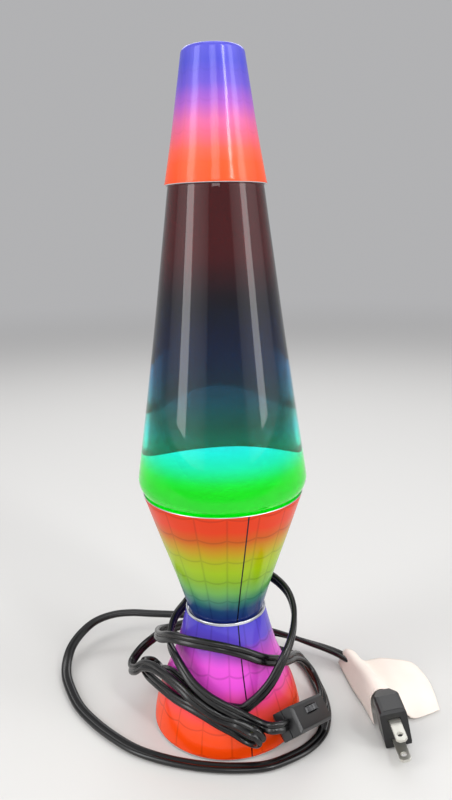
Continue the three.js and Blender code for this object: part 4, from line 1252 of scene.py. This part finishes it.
@dataclass
class FlatCord:
    """A flat twin cord: two round cores in one grooved jacket. Sizes are in millimetres."""

    name: str
    node: str
    route: Route
    width: float = 6.6
    thickness: float = 3.3
    web: float = 0.52  # of a core's radius that is left between the two cores
    groove: float = 138.0  # degrees round a core, from its outer side, where the groove starts

    def section(self) -> Outline:
        """Draws the cord's section.

        Returns:
            The place of each point round it, across the cord's width and up from its middle.
        """
        core = self.thickness / 2
        middle = self.width / 2 - core
        right = arc((middle, 0.0), core, -self.groove, self.groove, 9)
        left = arc((-middle, 0.0), core, 180 - self.groove, 180 + self.groove, 9)
        return [*right, (0.0, core * self.web), *left, (0.0, -core * self.web)]

    def build(self, finishes: Finishes) -> tuple[Object, list[Vector]]:
        """Sweeps the section along the route.

        Args:
            finishes: The lamp's finishes.

        Returns:
            The cord and the line that it follows.
        """
        line = self.route.line()
        section = self.section()
        mesh = bmesh.new()
        rings = [
            [mesh.verts.new(place + (across * u + face * v) * MM) for u, v in section]
            for place, (across, face) in zip(line, self.route.faces(line))
        ]
        for before, after in zip(rings, rings[1:]):
            for i in range(len(section)):
                j = (i + 1) % len(section)
                mesh.faces.new((before[i], before[j], after[j], after[i]))
        mesh.faces.new(list(reversed(rings[0])))
        mesh.faces.new(rings[-1])
        bmesh.ops.recalc_face_normals(mesh, faces=mesh.faces)
        sharpen(mesh, 1.0)
        cord = piece_from(self.name, mesh, "base", [finishes.cord])
        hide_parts(self.node)
        return cord, line


@dataclass
class Bushing:
    """The tapered strain relief at the back of the foot. Sizes are in millimetres."""

    height: float = 13.0
    collar: float = 5.8  # radius of both collars
    collar_width: float = 1.4  # of the outer one
    neck: float = 4.6  # radius in the foot's wall
    wall_in: float = 40.4  # Y of the wall's two sides, with their clearance
    wall_out: float = 44.6
    taper_gap: float = 1.8  # from the wall to the taper
    root: float = 5.1  # radius where the taper starts
    tip: float = 3.4  # radius where it ends
    tip_round: float = 0.5
    tip_length: float = 0.6
    ribs: int = 5
    groove: float = 0.35  # depth between ribs
    facets: int = 48

    def build(self, finishes: Finishes, box: tuple[Vector, Vector]) -> Object:
        """Spins the bushing with its ribs and lays it along Y.

        Args:
            finishes: The lamp's finishes.
            box: The CAD node's box.

        Returns:
            The bushing.
        """
        low, high = box[0].y / MM, box[1].y / MM
        profile = [(0.0, low), (self.collar, low), (self.collar, self.wall_in), (self.neck, self.wall_in)]
        profile += [(self.neck, self.wall_out), (self.collar, self.wall_out)]
        profile += [(self.collar, self.wall_out + self.collar_width)]
        start = self.wall_out + self.taper_gap
        points = self.ribs * 4
        for i in range(points + 1):
            radius = self.root + (self.tip - self.root) * i / points
            depth = self.groove if i % 4 in (1, 2) else 0.0
            profile.append((radius - depth, start + (high - self.tip_length - start) * i / points))
        profile += [(self.tip - self.tip_round, high), (0.0, high)]
        mesh = spun(profile, self.facets)
        bmesh.ops.rotate(mesh, verts=mesh.verts, matrix=Matrix.Rotation(-math.pi / 2, 3, "X"))
        bmesh.ops.translate(mesh, verts=mesh.verts, vec=(0, 0, self.height * MM))
        sharpen(mesh)
        bushing = piece_from("strain_relief", mesh, "base", [finishes.plastic])
        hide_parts("cord_bushing")
        return bushing


@dataclass
class Tag:
    """A blank care tag of coated card folded over the cord. Sizes are in millimetres."""

    thickness: float = 0.35
    rows: int = 28
    columns: int = 44
    crease: float = 0.9  # height of its handling creases
    crease_run: tuple[float, float] = (70.0, 45.0)  # repeats per metre along X and Y
    crease_seed: float = 2.0
    lying: tuple[float, float] = (1.0, 6.0)  # heights over which the creases set in
    lines: list[list[Point]] = field(
        default_factory=lambda: [
            [(73.9, 43, 1.4), (78.2, 14.6, 1.2), (81.6, -1, 1.2), (84.5, -18.5, 1.2)],
            [(75, 42.7, 4), (79.3, 14, 4.8), (82.2, -2, 5.5), (84, -15.5, 5)],
            [(75.9, 43, 7.5), (80.8, 18.3, 9.5), (83.2, 0.5, 11.5), (84.2, -9.2, 12)],
            [(78.8, 42.5, 11.7), (82.6, 22, 13.4), (86, 3, 16), (88.2, -8.6, 17.6)],
            [(83.6, 41.5, 10.4), (87.6, 21, 13), (91.8, 3, 16.2), (95.3, -8.6, 17)],
            [(89.6, 40.4, 4), (93.3, 20.2, 6.5), (97, 3.3, 10.5), (100.8, -8.4, 12)],
            [(101.6, 37.2, 7.4), (104.2, 22.9, 8.2), (104.9, 6.9, 8.5), (103.4, -10.8, 5)],
            [(110.4, 33.7, 8.5), (112.1, 21.3, 8), (111.5, 5.8, 6.5), (107.2, -14.2, 1.8)],
            [(118.8, 33.3, 6.5), (121.3, 22.6, 5.5), (121.1, 7, 4), (118.3, -10.7, 1.3)],
            [(124.6, 36, 1.3), (127.4, 22.6, 1.3), (127.4, 7.8, 1.3), (126, -6.9, 1.3)],
        ]
    )

    def build(self, finishes: Finishes) -> Object:
        """Lofts the tag through its lines, creases it a little and gives it a thickness.

        Args:
            finishes: The lamp's finishes.

        Returns:
            The tag.
        """
        ribs = [self.spread(Route(line, 1.0).line(), self.rows) for line in self.lines]
        mesh = bmesh.new()
        grid = []
        for row in range(self.rows + 1):
            stations = [tuple(rib[row] / MM) for rib in ribs]
            line = self.spread(Route(stations, 1.0).line(), self.columns)
            grid.append([mesh.verts.new(self.creased(place)) for place in line])
        for before, after in zip(grid, grid[1:]):
            for i in range(self.columns):
                mesh.faces.new((before[i], before[i + 1], after[i + 1], after[i]))
        bmesh.ops.recalc_face_normals(mesh, faces=mesh.faces)
        tag = piece_from("blank_tag", mesh, "base", [finishes.card])
        wall = tag.modifiers.new("thickness", "SOLIDIFY")
        wall.thickness = self.thickness * MM
        wall.offset = 0
        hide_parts("cord_tag")
        return tag

    def creased(self, place: Vector) -> Vector:
        """Moves a point of the card by its handling creases.

        Args:
            place: The point, in metres.

        Returns:
            The point on the creased card.
        """
        along, across = self.crease_run
        ripple = noise.noise(Vector((place.x * along, place.y * across, self.crease_seed)))
        share = smooth_step(self.lying[0] * MM, self.lying[1] * MM, place.z)
        return place + Vector((0, 0, self.crease * MM * ripple * share))

    @staticmethod
    def spread(line: Sequence[Vector], count: int) -> list[Vector]:
        """Picks points spaced evenly along a sampled line.

        Args:
            line: The sampled line.
            count: How many stretches lie between the points.

        Returns:
            The points, one more than the stretches.
        """
        total = Route.length(line)
        picked, travelled, index = [line[0]], 0.0, 0
        for i in range(1, count + 1):
            wanted = total * i / count
            while index < len(line) - 2 and travelled + (line[index + 1] - line[index]).length < wanted:
                travelled += (line[index + 1] - line[index]).length
                index += 1
            stretch = (line[index + 1] - line[index]).length
            share = min(1.0, (wanted - travelled) / max(stretch, TINY))
            picked.append(line[index].lerp(line[index + 1], share))
        return picked


@dataclass
class CordSet:
    """Both cords with what is on them: bushing, switch, tag and plug. Sizes are in millimetres."""

    bushing_end: float = 65.0
    switch_place: Point = (41.4, -32.2, 18.3)
    switch_along: Point = (0.519948, 0.769923, -0.369963)
    switch_reach: float = 20.3
    plug_back: Point = (91.5, -10, 13)
    plug_along: Point = (0.019999, -0.9998, 0.0)
    clear: float = 0.3  # between the cord's end and the plug
    straight: float = 3.9  # run at each end, square to what it meets
    lamp_route: list[Point] = field(
        default_factory=lambda: [
            (-2.5, 75, 13.3), (-11, 80.5, 14.2), (-27, 82, 16), (-54, 84, 17), (-67, 84, 18), (-80, 82, 18),
            (-92, 77, 16), (-100, 69, 12.5), (-105, 58, 9), (-106, 46, 6), (-104, 33, 4), (-98, 18, 3),
            (-90, 3, 2.5), (-79, -11, 2.5), (-66, -24, 2.5), (-52, -35, 2.5), (-38, -42, 2.5),
            (-23, -47, 2.5), (-8, -50, 2.5), (6, -51, 2.5), (20, -50, 2.5), (32, -45, 2.5), (44, -37, 2.5),
            (53, -26, 2.5), (57.5, -11, 2.5), (58, 5, 2.5), (56, 20, 2.5), (53, 36, 2.5), (46, 50, 2.5),
            (30, 60, 2.5), (10, 66, 2.5), (-10, 63, 5), (-26, 53, 14), (-41, 40, 28), (-48, 31, 29),
            (-54.5, 27, 25), (-59, 21, 21), (-59, 12, 22), (-55, 3, 27), (-50, -3, 33.5), (-44, -10, 37.5),
            (-38, -18, 39.5), (-32, -25, 39.5), (-26, -31, 38), (-20.5, -36, 35.5), (-15, -39, 32.5),
            (-9.5, -41.5, 29.5), (-3, -43, 26.5), (3.5, -45, 25.5), (9, -49.5, 26), (14, -53.5, 25.5),
            (17, -53, 21), (15, -48, 15.5), (9.5, -44, 15), (3, -42.5, 18.5), (-4.5, -41, 22),
            (-12.5, -38, 25.5), (-21, -33, 27.5), (-29, -26.5, 28), (-36, -19, 28.5), (-42.5, -10, 28),
            (-47.5, -1, 26.5), (-51, 9, 25), (-51.5, 19, 21.5), (-47, 25, 17), (-42.5, 20, 16),
            (-40.5, 10, 21), (-38.5, -1, 28.5), (-34.5, -10.5, 34.5), (-29.5, -19, 38), (-23.5, -26, 37.5),
            (-19, -30, 36), (-13.5, -34, 34), (-8, -36.5, 32), (-3, -38, 30.5), (2.5, -38.5, 29.5),
            (8, -39, 29.5), (13.5, -37.5, 32.5), (19, -35.5, 36.5), (24.5, -33, 42.5), (30, -29, 51),
            (35, -22, 57.5), (38.5, -11, 62.5), (39.5, 1, 67), (36.5, 14, 71), (27, 26, 75), (14, 34, 77),
            (-2, 35, 75), (-15, 29, 69), (-24, 19, 61.5), (-30, 9, 58.5), (-32.5, 0, 54.5),
            (-32.5, -9, 51.5), (-28.5, -21, 50.5), (-24, -28, 46.5), (-19, -33.5, 42), (-12, -38.5, 38),
            (-4, -42, 34.5), (4, -44, 31), (11.5, -46, 28), (18, -49.5, 27), (23, -53, 28),
        ]
    )
    plug_route: list[Point] = field(
        default_factory=lambda: [
            (56.5, -2, 9.5), (55, 7, 11.5), (51, 14, 17), (46, 13, 25), (41, 5, 32), (36, -7, 38),
            (28, -19, 45), (19, -27.5, 52), (9, -30.5, 58), (-1, -31, 61.5), (-12, -29, 63),
            (-21, -25.5, 63), (-30, -19, 61.5), (-38, -6, 54), (-42, 12, 45), (-42, 29, 37), (-36, 41, 31),
            (-19, 57, 26), (3, 66, 18), (26, 67, 12), (44, 61, 10), (57, 53, 9.5), (66, 48.5, 8.5),
            (74, 43.5, 7.5), (80, 36, 7.5), (83.5, 27, 8.5), (86.5, 17, 10), (89, 6, 11.8),
        ]
    )

    def from_switch(self, reach: float) -> Point:
        """A point on the switch's long axis, this far from its middle."""
        return tuple(c + d * reach for c, d in zip(self.switch_place, self.switch_along))

    def from_plug(self, reach: float) -> Point:
        """A point behind the plug, this far from its back."""
        return tuple(c - d * reach for c, d in zip(self.plug_back, self.plug_along))

    def build(self, nodes: dict[str, Object], finishes: Finishes) -> None:
        """Args:
            nodes: The CAD nodes' objects, by name.
            finishes: The lamp's finishes.
        """
        strain_relief = Bushing()
        near = self.switch_reach
        lamp_points = [
            (0, self.bushing_end, strain_relief.height),
            (0, self.bushing_end + self.straight, strain_relief.height),
            *self.lamp_route,
            self.from_switch(-near - self.straight),
            self.from_switch(-near),
        ]
        plug_points = [
            self.from_switch(near),
            self.from_switch(near + self.straight),
            *self.plug_route,
            self.from_plug(self.clear + self.straight),
            self.from_plug(self.clear),
        ]
        to_switch = FlatCord("cord_to_switch", "cord_lamp_to_switch", Route(lamp_points))
        to_plug = FlatCord("cord_to_plug", "cord_switch_to_plug", Route(plug_points))
        lamp_cord, lamp_line = to_switch.build(finishes)
        plug_cord, plug_line = to_plug.build(finishes)
        bushing = strain_relief.build(finishes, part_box("cord_bushing"))
        tag = Tag().build(finishes)
        switch = [nodes[name] for name in sorted(nodes) if name.startswith("switch_")]
        plug = [nodes[name] for name in ("plug_body", "plug_blade_1", "plug_blade_2")]
        self.declare(lamp_cord, lamp_line, "fitting", [bushing, *switch])
        self.declare(plug_cord, plug_line, "plug", [*plug, tag])

    @staticmethod
    def declare(cord: Object, line: list[Vector], far_end: str, pieces: list[Object]) -> None:
        """Logs how long a cord is.

        Args:
            cord: The cord's mesh.
            line: Its centreline, in metres.
            far_end: What its far end is. Not used.
            pieces: The separate pieces on it. Not used.
        """
        length = Route.length(line)
        log.info("%s: %.0f mm long", cord.name, length / MM)


# Studio


@dataclass
class SoftBox:
    """One soft light: where it is, what it lights, its size in metres and its power in watts."""

    name: str
    place: tuple[float, float, float]
    size: tuple[float, float]
    power: float
    aim: tuple[float, float, float] = (0.0, 0.0, 0.2)
    spread: float = 180.0  # degrees, less where its edges fade

    def build(self) -> None:
        """Makes the light and turns it to what it lights."""
        data = bpy.data.lights.new(self.name, "AREA")
        data.shape = "RECTANGLE"
        data.size, data.size_y = self.size
        data.energy = self.power
        data.spread = math.radians(self.spread)
        light = bpy.data.objects.new(self.name, data)
        light.location = self.place
        light.rotation_euler = (Vector(self.aim) - Vector(self.place)).to_track_quat("-Z", "Y").to_euler()
        bpy.context.scene.collection.objects.link(light)


@dataclass
class Studio:
    """Camera at the photograph's angle, pale floor, pale surroundings and soft light. Sizes are in metres."""

    camera_place: tuple[float, float, float] = (0.0, -0.3735, 0.2821)
    pitch: float = 13.5  # degrees down
    yaw: float = 0.43  # degrees towards +X
    roll: float = -1.25  # degrees
    lens: float = 31.93  # mm, on a sensor of the next width
    sensor: float = 36.0
    near_clip: float = 0.01
    floor_size: float = 6.0
    haze: tuple[float, float] = (0.7, 2.6)  # distances over which the floor fades into the room
    paper: str = "#d8d7d5"
    paper_run: float = 400.0  # repeats per metre of the paper's grain
    room: str = "#e6e6e8"
    room_level: float = 0.56
    lights: list[SoftBox] = field(
        default_factory=lambda: [
            SoftBox("left_panel", (-0.98, -0.61, 0.74), (2.0, 1.4), 2.8, spread=94),
            SoftBox("left_strip", (-0.9, -0.52, 0.7), (0.34, 1.2), 4.6),
            SoftBox("right_panel", (1.08, -0.4, 0.74), (1.8, 1.4), 2.4, spread=94),
            SoftBox("right_strip", (0.92, -0.42, 0.7), (0.28, 1.2), 3.6),
            SoftBox("front_box", (0.0, -1.2, 1.08), (0.45, 0.7), 0.9, spread=90),
            SoftBox("corner_box", (0.58, -0.74, 0.96), (0.12, 0.5), 3.2),
            SoftBox("top_box", (0.0, 0.35, 1.5), (0.55, 0.9), 1.5),
            SoftBox("back_strip", (0.0, 1.0, 0.98), (1.2, 0.4), 4.0),
        ]
    )

    def build_camera(self) -> None:
        """Places the camera."""
        data = bpy.data.cameras.new("photo_camera")
        data.lens = self.lens
        data.sensor_width = self.sensor
        data.clip_start = self.near_clip
        camera = bpy.data.objects.new("photo_camera", data)
        turn = (
            Matrix.Rotation(math.radians(-self.yaw), 4, "Z")
            @ Matrix.Rotation(math.radians(90 - self.pitch), 4, "X")
            @ Matrix.Rotation(math.radians(self.roll), 4, "Z")
        )
        camera.matrix_world = Matrix.Translation(self.camera_place) @ turn
        bpy.context.scene.collection.objects.link(camera)
        bpy.context.scene.camera = camera

    def paper_finish(self) -> Material:
        """Makes the floor's finish: matt paper with a fine grain, which fades into the room far off.

        Returns:
            The material.
        """
        shader = Shader("pale_paper_floor")
        grain = shader.clouds(shader.place, self.paper_run, 3.0)
        bump = shader.bump(grain, 0.1, 0.1)
        paper = shader.surface({"Base Color": linear(self.paper), "Roughness": 0.8, "Normal": bump})
        haze = shader.add("ShaderNodeEmission", {"Color": linear(self.room), "Strength": self.room_level})
        away = shader.vectors("LENGTH", shader.place, output="Value")
        far = shader.remap(away, self.haze, smooth=True)
        return shader.finish(shader.add("ShaderNodeMixShader", [far, paper, haze.outputs[0]]).outputs[0])

    def build(self) -> None:
        """Makes the floor, the lights and the surroundings."""
        mesh = bmesh.new()
        bmesh.ops.create_grid(mesh, x_segments=1, y_segments=1, size=self.floor_size)
        data = bpy.data.meshes.new("floor")
        mesh.to_mesh(data)
        mesh.free()
        data.materials.append(self.paper_finish())
        floor = bpy.data.objects.new("floor", data)
        bpy.context.scene.collection.objects.link(floor)
        for light in self.lights:
            light.build()
        self.build_world()

    def build_world(self) -> None:
        """Makes pale surroundings that light the lamp softly from all round."""
        world = bpy.data.worlds.new("pale_room")
        bpy.context.scene.world = world
        world.use_nodes = True
        world.node_tree.nodes.clear()
        inputs = {"Color": linear(self.room), "Strength": self.room_level}
        glow = add_node(world.node_tree, "ShaderNodeBackground", inputs)
        add_node(world.node_tree, "ShaderNodeOutputWorld", [glow.outputs[0]])


def main() -> None:
    """Loads the frame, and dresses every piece."""
    logging.basicConfig(level=logging.INFO, format="%(message)s")
    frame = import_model()
    nodes = frame["nodes"]
    studio = Studio()
    studio.build_camera()
    finishes = Finishes()
    CordSet().build(nodes, finishes)
    for part in (Foot(), Cup(), Cap(), Globe(), Bulb()):
        part.build(finishes)
    CadDress().build(nodes, finishes)
    studio.build()
    bpy.context.scene.view_settings.view_transform = "Standard"


if __name__ == "__main__":
    main()
